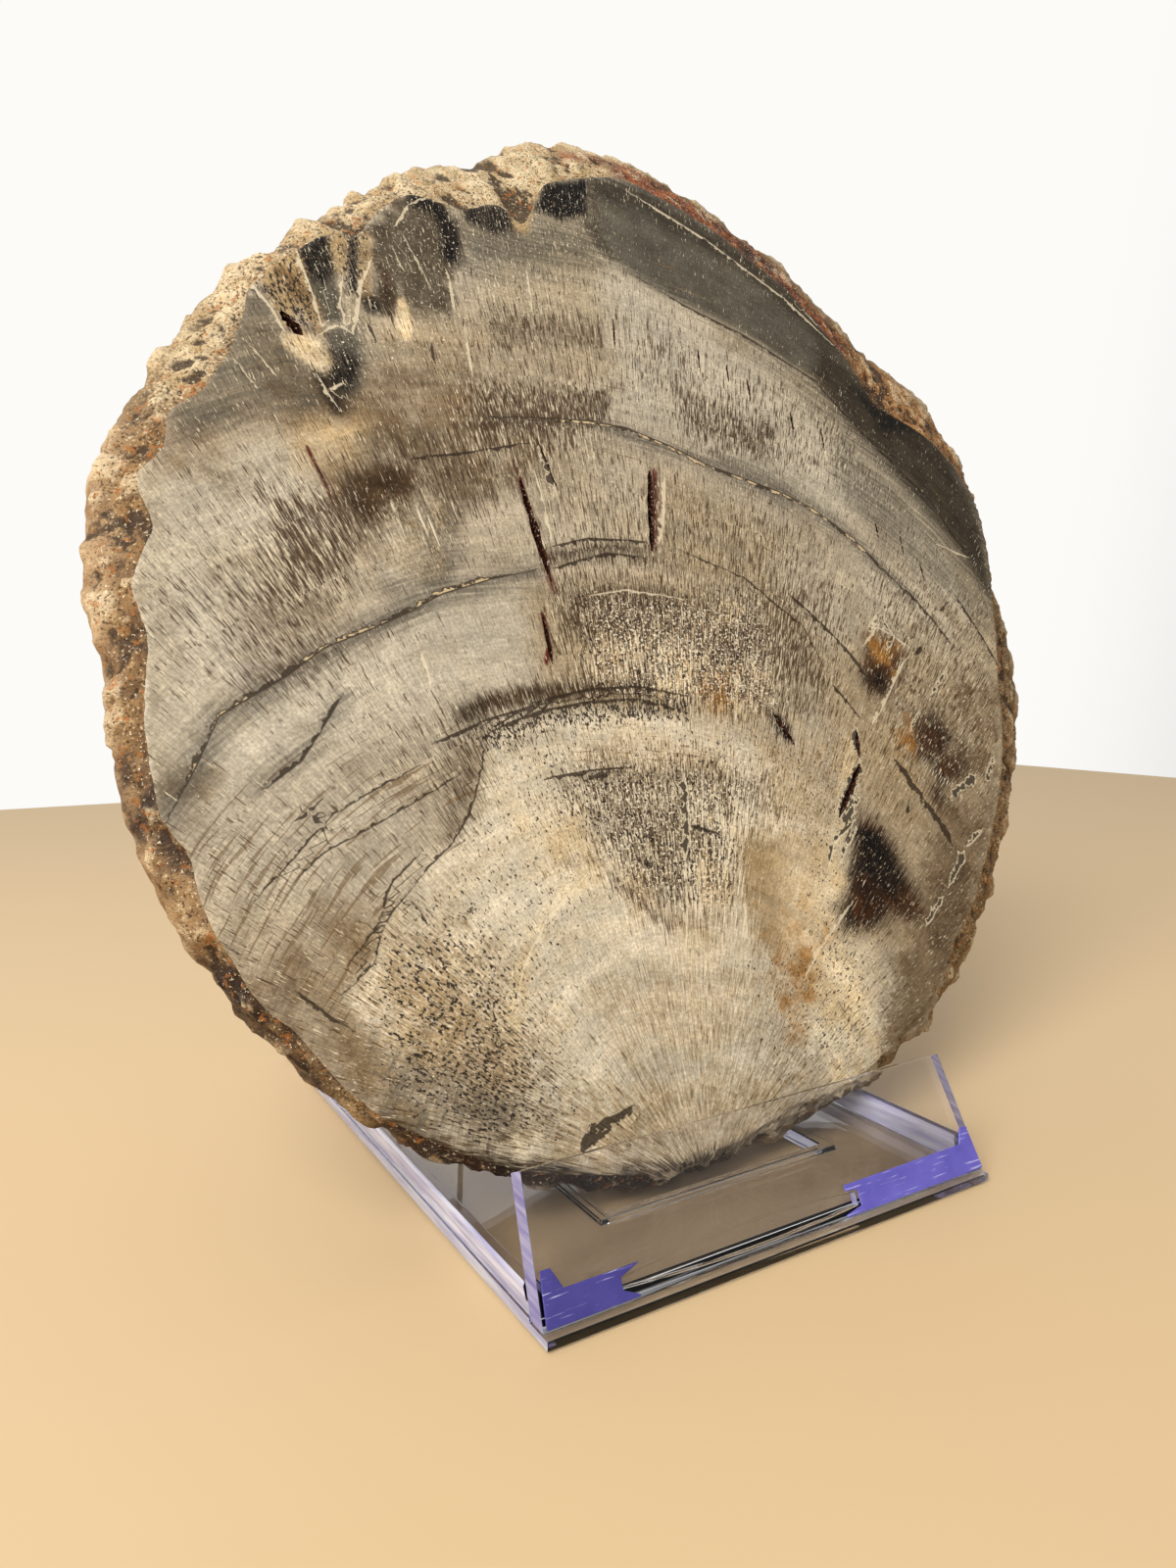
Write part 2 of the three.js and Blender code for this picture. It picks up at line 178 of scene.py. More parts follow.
def photoToFace(pixels):
    pixels = np.asarray(pixels, float)
    across = (pixels[:, 0] - photo["width"] / 2) / photo["focal"]
    down = (pixels[:, 1] - photo["height"] / 2) / photo["focal"]
    rays = lookAlong + across[:, None] * lookRight - down[:, None] * lookUp
    outward = np.array([0, -math.cos(lean), math.sin(lean)])
    upFace = np.array([0, math.sin(lean), math.cos(lean)])
    eye = np.array(photo["eye"])
    foot = np.array([0, *slicePlan["foot"]])
    reach = ((foot - eye) @ outward) / (rays @ outward)
    hits = eye + reach[:, None] * rays
    return np.stack([hits[:, 0], (hits - foot) @ upFace], 1)


def aroundCentre(x, y):
    # How far round the rim a place is, from 0 to 1, and how far out.
    dx = x - slicePlan["centre"][0]
    dy = y - slicePlan["centre"][1]
    return (np.arctan2(dy, dx) + math.pi) / (2 * math.pi), np.hypot(dx, dy)


def readRimRows():
    back = slicePlace.inverted()
    points = np.array([back @ v.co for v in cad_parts["stone_slice"].data.vertices]) / mm
    steps = slicePlan["cadSteps"]
    share, radius = aroundCentre(points[:, 0], points[:, 1])
    place = share * steps
    rows = np.zeros((len(slicePlan["rowDepths"]), steps))
    onSpoke = np.abs(place - np.round(place)) < slicePlan["onFace"]
    for row, depth in enumerate(slicePlan["rowDepths"]):
        chosen = onSpoke & (np.abs(points[:, 2] + depth) < slicePlan["onFace"])
        np.maximum.at(rows[row], np.round(place[chosen]).astype(int) % steps, radius[chosen])
    for row in rows:
        known = row > row.max() * 0.3
        row[~known] = np.interp(np.flatnonzero(~known), np.flatnonzero(known), row[known])
    return rows


def smoothRound(values, passes):
    for _ in range(passes):
        values = (np.roll(values, 1, -1) + 2 * values + np.roll(values, -1, -1)) / 4
    return values


def blendRows(rows, place):
    # A smooth curve through the rows.
    k = min(int(place), len(rows) - 2)
    t = place - k
    before, after = rows[max(k - 1, 0)], rows[min(k + 2, len(rows) - 1)]
    a, b = rows[k], rows[k + 1]
    return 0.5 * (2 * a + (b - before) * t + (2 * before - 5 * a + 4 * b - after) * t ** 2
                  + (3 * a - before - 3 * b + after) * t ** 3)


def makeSliceMesh():
    plan = slicePlan
    cadRows = readRimRows()
    count = plan["around"]
    cx, cy = plan["centre"]
    angles = -math.pi + np.arange(count) / count * 2 * math.pi
    directions = np.stack([np.cos(angles), np.sin(angles)], 1)
    cadPlace = np.arange(count) / count * plan["cadSteps"]
    cadIndex = np.arange(plan["cadSteps"] + 1)
    dense = np.array([np.interp(cadPlace, cadIndex, np.append(row, row[0])) for row in cadRows])
    dense = smoothRound(dense, plan["rimSmoothing"])
    depths = np.array(plan["rowDepths"], float)[:, None] * np.ones(count)
    places = list(np.linspace(0, plan["slopeEnd"], plan["slopeRows"]))
    places += list(np.linspace(plan["slopeEnd"], len(cadRows) - 1, plan["sideRows"] + 1)[1:])
    points = []
    for place in places:
        radius = blendRows(dense, place)
        depth = blendRows(depths, place)
        # The crust is full just behind the face and worn down towards the back.
        onBark = place < plan["backEdge"]
        level = min(1.0, plan["crustAtFace"] + place * plan["crustRise"]) if onBark else plan["crustOnBack"]
        level *= max(plan["crustWorn"], 1 - plan["crustFall"] * max(place - 1, 0))
        knobs = min(1.0, place / plan["knobRise"]) * plan["knobs"] if onBark else 0
        for i in range(count):
            x, y = cx + directions[i, 0] * radius[i], cy + directions[i, 1] * radius[i]
            spot = Vector((x, y, -depth[i]))
            grain = noise.fractal(spot / plan["crustSize"], *plan["crustNoise"])
            gaps, _ = noise.voronoi(spot / plan["pitGap"] + Vector((3, 7, 1)))
            pit = max(0.0, plan["pitReach"] - gaps[0]) / plan["pitReach"]
            lift = (grain * plan["crust"] - pit * pit * plan["pits"]) * level
            lift += knobs * noise.fractal(spot / plan["knobSize"] + Vector((5, 1, 9)), *plan["knobNoise"])
            forward = plan["crustForward"] * lift if 0 < place and onBark else 0
            z = min(-depth[i] + forward, 0) if place else 0.0
            points.append((x + directions[i, 0] * lift, y + directions[i, 1] * lift, z))
    faces = []
    for row in range(len(places) - 1):
        for i in range(count):
            a = row * count + i
            b = row * count + (i + 1) % count
            faces.append((a, a + count, b + count, b))

    def fillCap(firstRow, step, facesFront):
        # Rings of points from the rim to the centre, with half as many wherever they get crowded.
        ring = [firstRow * count + i for i in range(count)]
        outline = np.array([points[i] for i in ring])
        z = outline[:, 2].mean()
        mean = np.hypot(outline[:, 0] - cx, outline[:, 1] - cy).mean()
        scale = 1.0
        while scale * mean > 2 * step:
            scale -= step / mean
            n = len(ring)
            halve = scale * mean * 2 * math.pi / n < 0.55 * step and n % 2 == 0
            m = n // 2 if halve else n
            nextRing = list(range(len(points), len(points) + m))
            for x, y, _ in outline[::count // m][:m]:
                points.append((cx + (x - cx) * scale, cy + (y - cy) * scale, z))
            for i in range(m):
                j = (i + 1) % m
                if halve:
                    p, q, r = ring[2 * i], ring[2 * i + 1], ring[(2 * i + 2) % n]
                    made = [(p, q, nextRing[i]), (q, nextRing[j], nextRing[i]), (q, r, nextRing[j])]
                else:
                    made = [(ring[i], ring[j], nextRing[j], nextRing[i])]
                faces.extend(made if facesFront else [f[::-1] for f in made])
            ring = nextRing
        points.append((cx, cy, z))
        for i in range(len(ring)):
            f = (ring[i], ring[(i + 1) % len(ring)], len(points) - 1)
            faces.append(f if facesFront else f[::-1])

    fillCap(0, plan["faceStep"], True)
    fillCap(len(places) - 1, plan["backStep"], False)
    return points, faces, dense


# Open splits: x and y of the middle, length, width, turn against the ray in degrees, depth.
splits = [
    (-12.9, 133, 24, 2.6, 3, 5), (-14.8, 108, 10.8, 1.4, -5, 3), (18.8, 140.6, 21.4, 2.6, -3, 5),
    (-6.7, 148.8, 12.3, 0.8, 12, 2), (18.8, 186.8, 9, 0.8, -2, 2), (43.7, 184.7, 5.8, 0.9, 5, 2),
    (52.3, 182, 5.2, 0.9, 12, 2), (58.3, 178.5, 6.3, 1.0, 15, 2), (70.9, 170.7, 6.4, 1.0, 18, 2),
    (80.8, 167.5, 6.5, 1.0, 21, 2), (92.9, 141.4, 5.8, 0.9, 29, 2), (101.2, 137.8, 5.5, 0.9, 32, 2),
    (106.6, 130.5, 5.2, 0.9, 40, 2), (66.9, 82.6, 7, 1.7, 28, 3), (60.6, 71.3, 17, 2.2, -2, 3),
    (44.2, 87.1, 9, 2.4, 56, 2.5), (-59.8, 173.7, 6, 3.2, 22, 4),
]


def makeSplitCutters():
    points, faces = [], []
    half = slicePlan["splitPoints"]
    ringSize = 2 * half
    plain, uneven = slicePlan["splitRagged"]
    for number, (x, y, length, width, lensTurn, depth) in enumerate(splits):
        ray = -math.atan2(x - slicePlan["pith"][0], y - slicePlan["pith"][1]) + math.radians(lensTurn)
        c, s = math.cos(ray), math.sin(ray)
        first = len(points)
        levels = [(1.0, 1.0)] + [(-depth * share, narrow) for share, narrow in slicePlan["splitLevels"]]
        for z, narrow in levels:
            for k in range(ringSize):
                along = -math.cos(k / half * math.pi) * length / 2
                ragged = plain + uneven * noise.noise(Vector((k * 0.9, number * 3.1, z * 0.2)))
                across = math.sin(k / half * math.pi) * width / 2 * ragged * narrow
                points.append((x + c * across - s * along, y + s * across + c * along, z))
        for row in range(len(levels) - 1):
            for k in range(ringSize):
                a = first + row * ringSize + k
                b = first + row * ringSize + (k + 1) % ringSize
                faces.append((a, b, b + ringSize, a + ringSize))
        faces.append(tuple(first + k for k in reversed(range(ringSize))))
        faces.append(tuple(first + 2 * ringSize + k for k in range(ringSize)))
    return points, faces


points, faces, rimRadii = makeSliceMesh()
slicePiece = meshObject("petrified_slice", points, faces)
cutters = meshObject("split_cutters", *makeSplitCutters())
for mesh in (slicePiece.data, cutters.data):
    bm = bmesh.new()
    bm.from_mesh(mesh)
    bmesh.ops.recalc_face_normals(bm, faces=bm.faces)
    bm.to_mesh(mesh)
    bm.free()
cut = slicePiece.modifiers.new("splits", "BOOLEAN")
cut.operation = "DIFFERENCE"
cut.solver = "MANIFOLD"
cut.object = cutters
bpy.context.view_layer.update()
cutMesh = bpy.data.meshes.new_from_object(slicePiece.evaluated_get(bpy.context.evaluated_depsgraph_get()))
slicePiece.modifiers.clear()
slicePiece.data = cutMesh
bpy.data.objects.remove(cutters)
cutMesh.name = "petrified_slice"
print("slice mesh", len(cutMesh.vertices), "points", len(cutMesh.polygons), "faces")

# Where each point of the slice lies, for the finishes.

coords = np.zeros(len(cutMesh.vertices) * 3, np.float32)
cutMesh.vertices.foreach_get("co", coords)
coords = coords.reshape(-1, 3).astype(float) / mm
facePlace = coords[:, :2]
behindFace = -coords[:, 2]
farAway = 1e9
coverLimit = 3.0
linePlan = {
    "reach": 4.0,                 # mm to each side of a line that its attributes cover
    "widthReach": 3.5,
    "pastEnd": 0.6,               # mm past a line's end that still belong to it
    "taper": 8,                   # a line thins over one part in eight at each end
    "thinnest": 0.25,
}


def addAttribute(name, values):
    layer = cutMesh.attributes.new(name, "FLOAT", "POINT")
    layer.data.foreach_set("value", np.asarray(values, np.float32))


def nearestOnLine(line, closed):
    # Distance to a line of points, which side of it, how far past its ends, and how far along it.
    ends = np.roll(line, -1, 0) if closed else line[1:]
    starts = line if closed else line[:-1]
    best = np.full(len(facePlace), farAway)
    side = np.ones(len(facePlace))
    past = np.zeros(len(facePlace))
    along = np.zeros(len(facePlace))
    travelled = 0.0
    for number, (p, q) in enumerate(zip(starts, ends)):
        d = q - p
        length = math.hypot(*d) or 1e-9
        rel = facePlace - p
        raw = (rel @ d) / length ** 2
        t = np.clip(raw, 0, 1)
        gap = rel - t[:, None] * d
        distance = np.hypot(gap[:, 0], gap[:, 1])
        nearer = distance < best
        beyond = np.zeros(len(facePlace))
        if number == 0:
            beyond = np.maximum(beyond, -raw * length)
        if number == len(starts) - 1:
            beyond = np.maximum(beyond, (raw - 1) * length)
        best = np.where(nearer, distance, best)
        side = np.where(nearer, np.sign((d[0] * rel[:, 1] - d[1] * rel[:, 0]) / length), side)
        past = np.where(nearer, np.maximum(beyond, 0), past)
        along = np.where(nearer, travelled + t * length, along)
        travelled += length
    return best, side, past, along / travelled


def farInside(line):
    # Distance to an outline, negative outside it.
    inside = np.zeros(len(facePlace), bool)
    x, y = facePlace[:, 0], facePlace[:, 1]
    for (x0, y0), (x1, y1) in zip(line, np.roll(line, -1, 0)):
        if y0 != y1:
            crossing = (y0 > y) != (y1 > y)
            inside ^= crossing & (x < (x1 - x0) * (y - y0) / (y1 - y0) + x0)
    distance, _, _, _ = nearestOnLine(line, True)
    return np.where(inside, distance, -distance)


def areaCover(areas):
    # How far inside its areas a point is, counted in widths of each area's soft edge.
    cover = np.full(len(facePlace), -coverLimit)
    for soft, full, drawn, *stroke in areas:
        line = photoToFace(drawn)
        inward = stroke[0] / 2 - nearestOnLine(line, False)[0] if stroke else farInside(line)
        cap = coverLimit if full == 1 else 2 * full - 1
        cover = np.maximum(cover, np.minimum(inward / soft, cap))
    return cover


def areaAmount(areas, elsewhere):
    # A plain amount from 0 to 1, each area fading over its soft edge.
    amount = np.full(len(facePlace), float(elsewhere))
    for soft, full, drawn in areas:
        share = np.clip(farInside(photoToFace(drawn)) / soft * 0.5 + 0.5, 0, 1)
        amount = amount + (full - amount) * share * share * (3 - 2 * share)
    return amount


def addLines(name, lines):
    # The signed distance to the nearest line, and that line's half width, thinner at its ends.
    reach = linePlan["reach"]
    side = np.full(len(facePlace), reach)
    weight = np.zeros(len(facePlace))
    best = np.full(len(facePlace), farAway)
    for width, drawn in lines:
        distance, sign, past, along = nearestOnLine(photoToFace(drawn), False)
        taper = np.clip(np.minimum(along, 1 - along) * linePlan["taper"], linePlan["thinnest"], 1)
        near = (distance < best) & (past < linePlan["pastEnd"])
        side = np.where(near, np.clip(distance * sign, -reach, reach), side)
        drawnHere = near & (distance < linePlan["widthReach"])
        weight = np.where(drawnHere, width / 2 * taper, np.where(near, 0, weight))
        best = np.where(near, distance, best)
    addAttribute(name + "Side", side)
    addAttribute(name + "Width", weight)


# Colours of the polished face, painted one over the other. An area is its soft edge in mm, how full
# it is and its outline in the photo's pixels. A stroke is a line, with its width in mm at the end.
facePaint = [
    {"name": "paleTaupe", "colours": ("#bab09c", "#a69b86"), "ragged": 1.2, "grain": "blotch", "areas": [
        (9, 1, [(150, 560), (200, 560), (310, 650), (440, 600), (545, 580), (555, 700), (420, 745),
            (330, 800), (210, 850), (160, 800)]),
        (8, 0.85, [(620, 270), (700, 320), (830, 420), (900, 500), (860, 540), (740, 470), (620, 425)]),
        (10, 0.7, [(160, 480), (300, 440), (330, 540), (170, 570)]),
        (8, 0.6, [(800, 610), (850, 625), (890, 680), (860, 750), (820, 740), (780, 660)]),
        (7, 0.5, [(880, 560), (960, 620), (985, 700), (900, 650)]),
        (5, 1, [(397, 514), (430, 514), (425, 560), (420, 600), (394, 600)]),
        (8, 0.6, [(240, 810), (330, 795), (420, 830), (400, 900), (300, 920), (240, 880)]),
        (6, 0.6, [(905, 520), (960, 560), (985, 620), (940, 600)]),
        (6, 0.4, [(930, 940), (985, 880), (1010, 800), (1000, 900), (950, 990)]),
    ]},
    {"name": "warmTan", "colours": ("#9a8768", "#836f50"), "ragged": 1.1, "grain": "dash", "areas": [
        (11, 0.68, [(760, 560), (850, 660), (930, 650), (1015, 700), (1010, 830), (960, 960), (930, 1000),
            (890, 950), (880, 900), (880, 780), (830, 720), (780, 640)]),
        (7, 0.6, [(540, 600), (640, 585), (820, 640), (820, 740), (700, 725), (560, 720)]),
        (9, 0.55, [(680, 500), (760, 520), (800, 560), (740, 590), (680, 570)]),
        (8, 0.8, [(880, 700), (960, 760), (940, 830), (880, 800)]),
        (6, 0.7, [(945, 890), (985, 850), (995, 900), (960, 980), (940, 960)]),
        (9, 0.5, [(470, 330), (610, 330), (620, 380), (500, 400), (400, 390), (400, 350)]),
        (9, 0.6, [(745, 790), (820, 850), (860, 930), (800, 960), (750, 900)]),
    ]},
    {"name": "lowerShade", "colours": ("#7d6a50", "#65533c"), "ragged": 1.1, "grain": "blotch", "areas": [
        (9, 0.62, [(230, 1000), (300, 980), (390, 1020), (430, 1090), (480, 1165), (400, 1150), (320, 1100),
            (250, 1050)]),
        (4, 1, [(955, 820), (1020, 810), (995, 940), (945, 1050), (880, 1112), (893, 1035), (932, 950)]),
        (4, 1, [(325, 1030), (372, 1042), (425, 1115), (415, 1145), (350, 1095)]),
        (8, 0.8, [(250, 330), (320, 350), (400, 380), (480, 390), (500, 450), (380, 470), (240, 420)]),
        (8, 0.6, [(170, 420), (240, 400), (230, 470), (170, 470)]),
        (6, 0.5, [(175, 800), (205, 790), (200, 850), (172, 850)]),
        (4, 1, [(310, 1030), (390, 1040), (440, 1120), (360, 1120)]),
        (6, 0.5, [(335, 470), (400, 440), (480, 420), (560, 430), (556, 462), (500, 492), (440, 532),
            (400, 562), (350, 545)]),
        (6, 0.6, [(330, 930), (372, 930), (370, 975), (330, 985)]),
        (5, 1, [(955, 905), (985, 885), (985, 930), (960, 960)]),
        (5, 0.6, [(980, 700), (1020, 700), (1020, 790), (980, 790)]),
    ]},
    {"name": "creamHeart", "colours": ("#d4c7ae", "#bfb094"), "ragged": 0.9, "grain": "fleck", "areas": [
        (1.6, 1, [(500, 748), (492, 785), (482, 830), (461, 862), (432, 890), (421, 916), (391, 940),
            (382, 980), (352, 1015), (392, 1072), (450, 1160), (560, 1200), (700, 1190), (800, 1100),
            (700, 900), (700, 735), (650, 722), (600, 722), (550, 734)]),
        (8, 1, [(560, 740), (700, 730), (800, 760), (862, 800), (862, 860), (840, 940), (900, 1000),
            (890, 1090), (700, 1190), (560, 1150)]),
    ]},
    {"name": "heartShade", "colours": ("#a48d6a", "#887250"), "ragged": 1.6, "grain": "dash", "areas": [
        (12, 0.85, [(385, 980), (440, 960), (490, 1000), (540, 1060), (540, 1130), (480, 1165),
            (400, 1120)]),
        (6, 0.8, [(455, 1100), (480, 1092), (540, 1110), (540, 1160), (470, 1165)]),
        (6, 0.6, [(392, 960), (450, 950), (455, 1040), (402, 1050)]),
        (8, 0.5, [(620, 770), (740, 780), (760, 900), (720, 960), (640, 900)]),
        (5, 1, [(745, 845), (815, 853), (820, 965), (775, 975), (750, 900)]),
        (7, 0.55, [(780, 760), (870, 770), (860, 850), (790, 830)]),
        (8, 0.62, [(560, 1130), (700, 1105), (800, 1090), (870, 1085), (800, 1150), (700, 1195),
            (560, 1205)]),
        (12, 0.45, [(630, 1020), (800, 1000), (800, 1080), (650, 1090)]),
    ]},
    {"name": "busyCream", "colours": ("#c0aa86", "#a58d68"), "ragged": 1.5, "grain": "dash", "areas": [
        (5, 1, [(612, 612), (692, 608), (776, 650), (792, 700), (765, 742), (700, 716), (620, 706),
            (600, 680)]),
        (5, 1, [(808, 850), (850, 850), (856, 940), (846, 1040), (815, 1044), (806, 950)]),
        (4, 1, [(297, 442), (330, 424), (373, 430), (368, 470), (340, 484), (303, 476)]),
        (3, 1, [(632, 888), (662, 886), (676, 925), (655, 935)]),
    ]},
    {"name": "heartDark", "colours": ("#84725a", "#5b4b37"), "ragged": 1.9, "grain": "dash", "areas": [
        (5, 0.55, [(576, 800), (610, 788), (690, 784), (780, 793), (788, 822), (745, 828), (702, 822),
            (694, 925), (664, 915), (640, 850), (588, 836)]),
        (3, 0.5, [(706, 836), (748, 838), (746, 900), (735, 932), (710, 932)]),
        (6, 0.4, [(560, 830), (600, 850), (600, 880), (570, 870)]),
        (4, 0.3, [(492, 1072), (530, 1066), (560, 1090), (556, 1150), (500, 1160), (470, 1120)]),
    ]},
    {"name": "greyBorder", "colours": ("#5e584b", "#4b4539"), "ragged": 0.6, "grain": "ring", "areas": [
        (3.2, 1, [(598, 175), (660, 185), (740, 232), (800, 280), (850, 330), (900, 400), (960, 440),
            (1000, 520), (1015, 630), (990, 575), (950, 512), (880, 442), (830, 388), (760, 343), (700, 313),
            (650, 284), (600, 250)]),
        (11, 0.5, [(600, 190), (700, 250), (830, 370), (960, 500), (1000, 590)], 24),
        (1.2, 1, [(296, 237), (334, 232), (345, 269), (342, 289), (348, 302), (349, 330), (329, 328),
            (312, 289)]),
        (6, 0.55, [(255, 289), (275, 312), (292, 345), (322, 381), (330, 405), (300, 415), (250, 415),
            (180, 418), (190, 400), (215, 365), (240, 305)]),
        (4, 0.85, [(180, 418), (240, 405), (250, 425), (190, 440)]),
        (2, 1, [(330, 334), (366, 330), (372, 370), (366, 400), (345, 420), (328, 385)]),
        (8, 0.7, [(470, 232), (560, 226), (618, 235), (610, 268), (480, 275)]),
        (7, 0.55, [(860, 450), (920, 510), (980, 590), (960, 600), (900, 550), (850, 480)]),
        (4, 0.8, [(300, 395), (330, 400), (325, 420), (300, 420)]),
    ]},
    {"name": "domeGrey", "colours": ("#615645", "#463b2c"), "ragged": 1.7, "grain": "blotch", "areas": [
        (2.2, 1, [(386, 222), (398, 200), (420, 194), (446, 202), (462, 222), (469, 250), (458, 280),
            (464, 308), (446, 322), (424, 318), (408, 300), (392, 312), (374, 322), (384, 285), (377, 250)]),
    ]},
    {"name": "borderDark", "colours": ("#372e20", "#261e13"), "ragged": 0.6, "grain": "ring", "areas": [
        (4, 0.85, [(835, 345), (890, 400), (960, 455), (1000, 540), (1012, 610), (975, 560), (940, 515),
            (880, 450), (830, 390)]),
        (4, 0.75, [(612, 192), (660, 208), (760, 268), (850, 352)], 6),
        (2, 0.5, [(598, 178), (604, 235), (620, 260)], 3),
    ]},
    {"name": "crackShade", "colours": ("#6f675a", "#5a5347"), "ragged": 0.8, "grain": "ring", "areas": [
        (3.6, 0.85, [(545, 583), (450, 607), (380, 640), (290, 692), (225, 732), (200, 790),
            (170, 840)], 3.5),
        (3.2, 0.85, [(500, 425), (600, 430), (700, 465), (800, 505), (870, 550), (930, 610)], 3),
        (4, 1, [(730, 462), (800, 492), (860, 535), (800, 515), (740, 485)]),
        (3.5, 0.88, [(422, 518), (468, 518), (466, 602), (426, 608)]),
        (3, 0.9, [(440, 570), (466, 568), (464, 600), (438, 606)]),
        (4, 0.6, [(395, 600), (420, 580), (440, 600), (400, 630)]),
        (3, 0.7, [(350, 710), (320, 760), (265, 805)], 2),
        (5, 0.5, [(200, 745), (222, 750), (185, 835), (165, 820)]),
        (6, 0.5, [(395, 1085), (520, 1130), (500, 1170), (400, 1140)]),
    ]},
    {"name": "umberPatch", "colours": ("#4a3521", "#322413"), "ragged": 1.5, "grain": "dash", "areas": [
        (3, 1, [(352, 478), (395, 465), (430, 480), (425, 530), (370, 540), (345, 515)]),
        (6, 0.4, [(490, 455), (560, 450), (560, 480), (500, 490)]),
        (2, 0.85, [(385, 1147), (440, 1174), (500, 1189), (570, 1201)], 3.5),
        (2, 0.8, [(640, 1196), (700, 1188), (760, 1172)], 2),
        (5, 0.42, [(341, 474), (400, 452), (480, 446), (525, 456), (520, 490), (450, 522), (360, 526)]),
        (6, 0.55, [(400, 452), (480, 448), (490, 490), (420, 500)]),
        (2, 0.68, [(489, 402), (505, 396), (545, 400), (622, 398), (618, 430), (560, 438), (490, 440)]),
        (3, 0.45, [(506, 324), (613, 330), (612, 350), (508, 350)]),
        (3, 0.6, [(277, 512), (365, 514), (350, 588), (290, 586)]),
        (8, 0.5, [(250, 610), (320, 620), (320, 670), (260, 690)]),
        (5, 0.6, [(585, 600), (680, 600), (700, 620), (690, 640), (600, 640)]),
        (3.5, 0.8, [(716, 646), (770, 650), (782, 676), (730, 680)]),
        (4, 0.45, [(782, 672), (838, 690), (842, 724), (800, 722)]),
        (4, 0.55, [(690, 395), (790, 440), (780, 465), (700, 430)]),
        (1.8, 0.85, [(474, 730), (500, 717), (560, 706), (640, 700), (700, 712)], 4),
        (4, 0.45, [(960, 900), (985, 888), (982, 936), (956, 962)]),
        (3, 0.6, [(560, 570), (640, 560), (660, 570)], 3),
        (5, 0.5, [(465, 760), (490, 745), (480, 830), (460, 850)]),
        (5, 0.4, [(770, 640), (820, 650), (840, 720), (800, 720)]),
        (1.4, 0.8, [(585, 870), (610, 880), (680, 945)], 1.2),
        (1, 1, [(640, 828), (658, 852)], 1.6),
        (3, 0.6, [(320, 345), (335, 385), (345, 415)], 4),
        (1.6, 0.8, [(392, 275), (398, 320)], 2.4),
    ]},
    {"name": "burntBrown", "colours": ("#43250a", "#1f0d03"), "ragged": 1.9, "grain": "hair", "areas": [
        (2.6, 1, [(884, 655), (912, 652), (922, 668), (918, 694), (904, 712), (886, 712), (878, 690)]),
        (2.2, 1, [(884, 690), (896, 680), (908, 684), (904, 706), (892, 712)]),
        (3.2, 1, [(930, 733), (958, 726), (972, 754), (966, 782), (940, 778), (928, 756)]),
        (3.2, 1, [(948, 768), (984, 765), (984, 796), (956, 806)]),
        (3, 0.8, [(948, 800), (964, 800), (962, 828), (952, 826)]),
        (2.8, 1, [(873, 832), (894, 838), (910, 858), (921, 884), (938, 914), (946, 938), (926, 942),
            (908, 936), (894, 952), (878, 960), (860, 948), (859, 918), (868, 882)]),
    ]},
    {"name": "nearBlack", "colours": ("#110903", "#060302"), "ragged": 1.6, "grain": "hair", "areas": [
        (1.2, 1, [(555, 186), (598, 184), (600, 220), (585, 222), (572, 226), (560, 220), (543, 214),
            (550, 200)]),
        (1.5, 0.9, [(470, 210), (498, 206), (515, 205), (526, 216), (526, 236), (505, 237), (488, 232),
            (474, 224)]),
        (1.6, 1, [(425, 204), (444, 210), (458, 232), (462, 262)], 5),
        (2, 0.8, [(418, 196), (440, 200), (446, 216), (426, 214)]),
        (1.6, 0.85, [(297, 237), (305, 233), (332, 234), (339, 254), (344, 275), (330, 292), (312, 280),
            (303, 257)]),
        (1.4, 0.9, [(354, 235), (366, 238), (368, 270), (366, 302), (356, 300), (352, 262)]),
        (1.2, 0.7, [(370, 304), (380, 302), (389, 312), (389, 320), (372, 318)]),
        (2.2, 0.8, [(337, 364), (352, 360), (367, 368), (364, 390), (350, 398), (338, 392)]),
        (1.5, 0.85, [(326, 383), (336, 402), (344, 416)], 2),
        (2.5, 0.9, [(868, 395), (905, 420), (950, 445), (900, 440)]),
        (2, 0.85, [(887, 692), (898, 684), (904, 692), (898, 706)]),
        (2.8, 0.85, [(875, 842), (898, 848), (914, 876), (926, 905), (912, 915), (892, 905), (876, 886)]),
        (2.2, 0.75, [(850, 924), (868, 920), (872, 944), (862, 954)]),
        (1.2, 0.9, [(780, 722), (795, 728), (808, 742), (806, 758), (792, 748)]),
        (2.4, 0.5, [(405, 1165), (480, 1190), (560, 1200), (640, 1205)], 2),
    ]},
    {"name": "ochre", "colours": ("#a97a38", "#8a5c22"), "ragged": 1.5, "grain": "blotch", "areas": [
        (4, 0.65, [(700, 690), (740, 700), (735, 718), (700, 708)]),
        (3, 0.75, [(890, 652), (915, 660), (908, 680), (890, 672)]),
        (6, 0.42, [(795, 940), (840, 950), (840, 1010), (812, 1040)]),
        (3, 0.6, [(911, 743), (930, 738), (930, 765), (914, 768)]),
    ]},
    {"name": "oxideRed", "colours": ("#5c2413", "#3c150b"), "ragged": 0.8, "grain": "dash", "areas": [
        (0.3, 1, [(313, 456), (326, 482), (341, 514)], 0.9),
        (0.3, 1, [(550, 456), (560, 478), (567, 503)], 0.5),
        (0.9, 0.8, [(531, 492), (540, 520), (552, 560), (566, 604)], 1.6),
        (0.9, 0.85, [(668, 482), (669, 520), (667, 560)], 2),
        (0.4, 1, [(554, 627), (561, 660), (557, 676)], 1.4),
        (0.3, 1, [(524, 470), (531, 490)], 0.7),
    ]},
    {"name": "crumbly", "colours": ("#b59a6f", "#7d623d"), "ragged": 1.2, "grain": "grain", "areas": [
        (1.4, 1, [(256, 262), (288, 232), (298, 240), (304, 260), (314, 290), (327, 318), (327, 340),
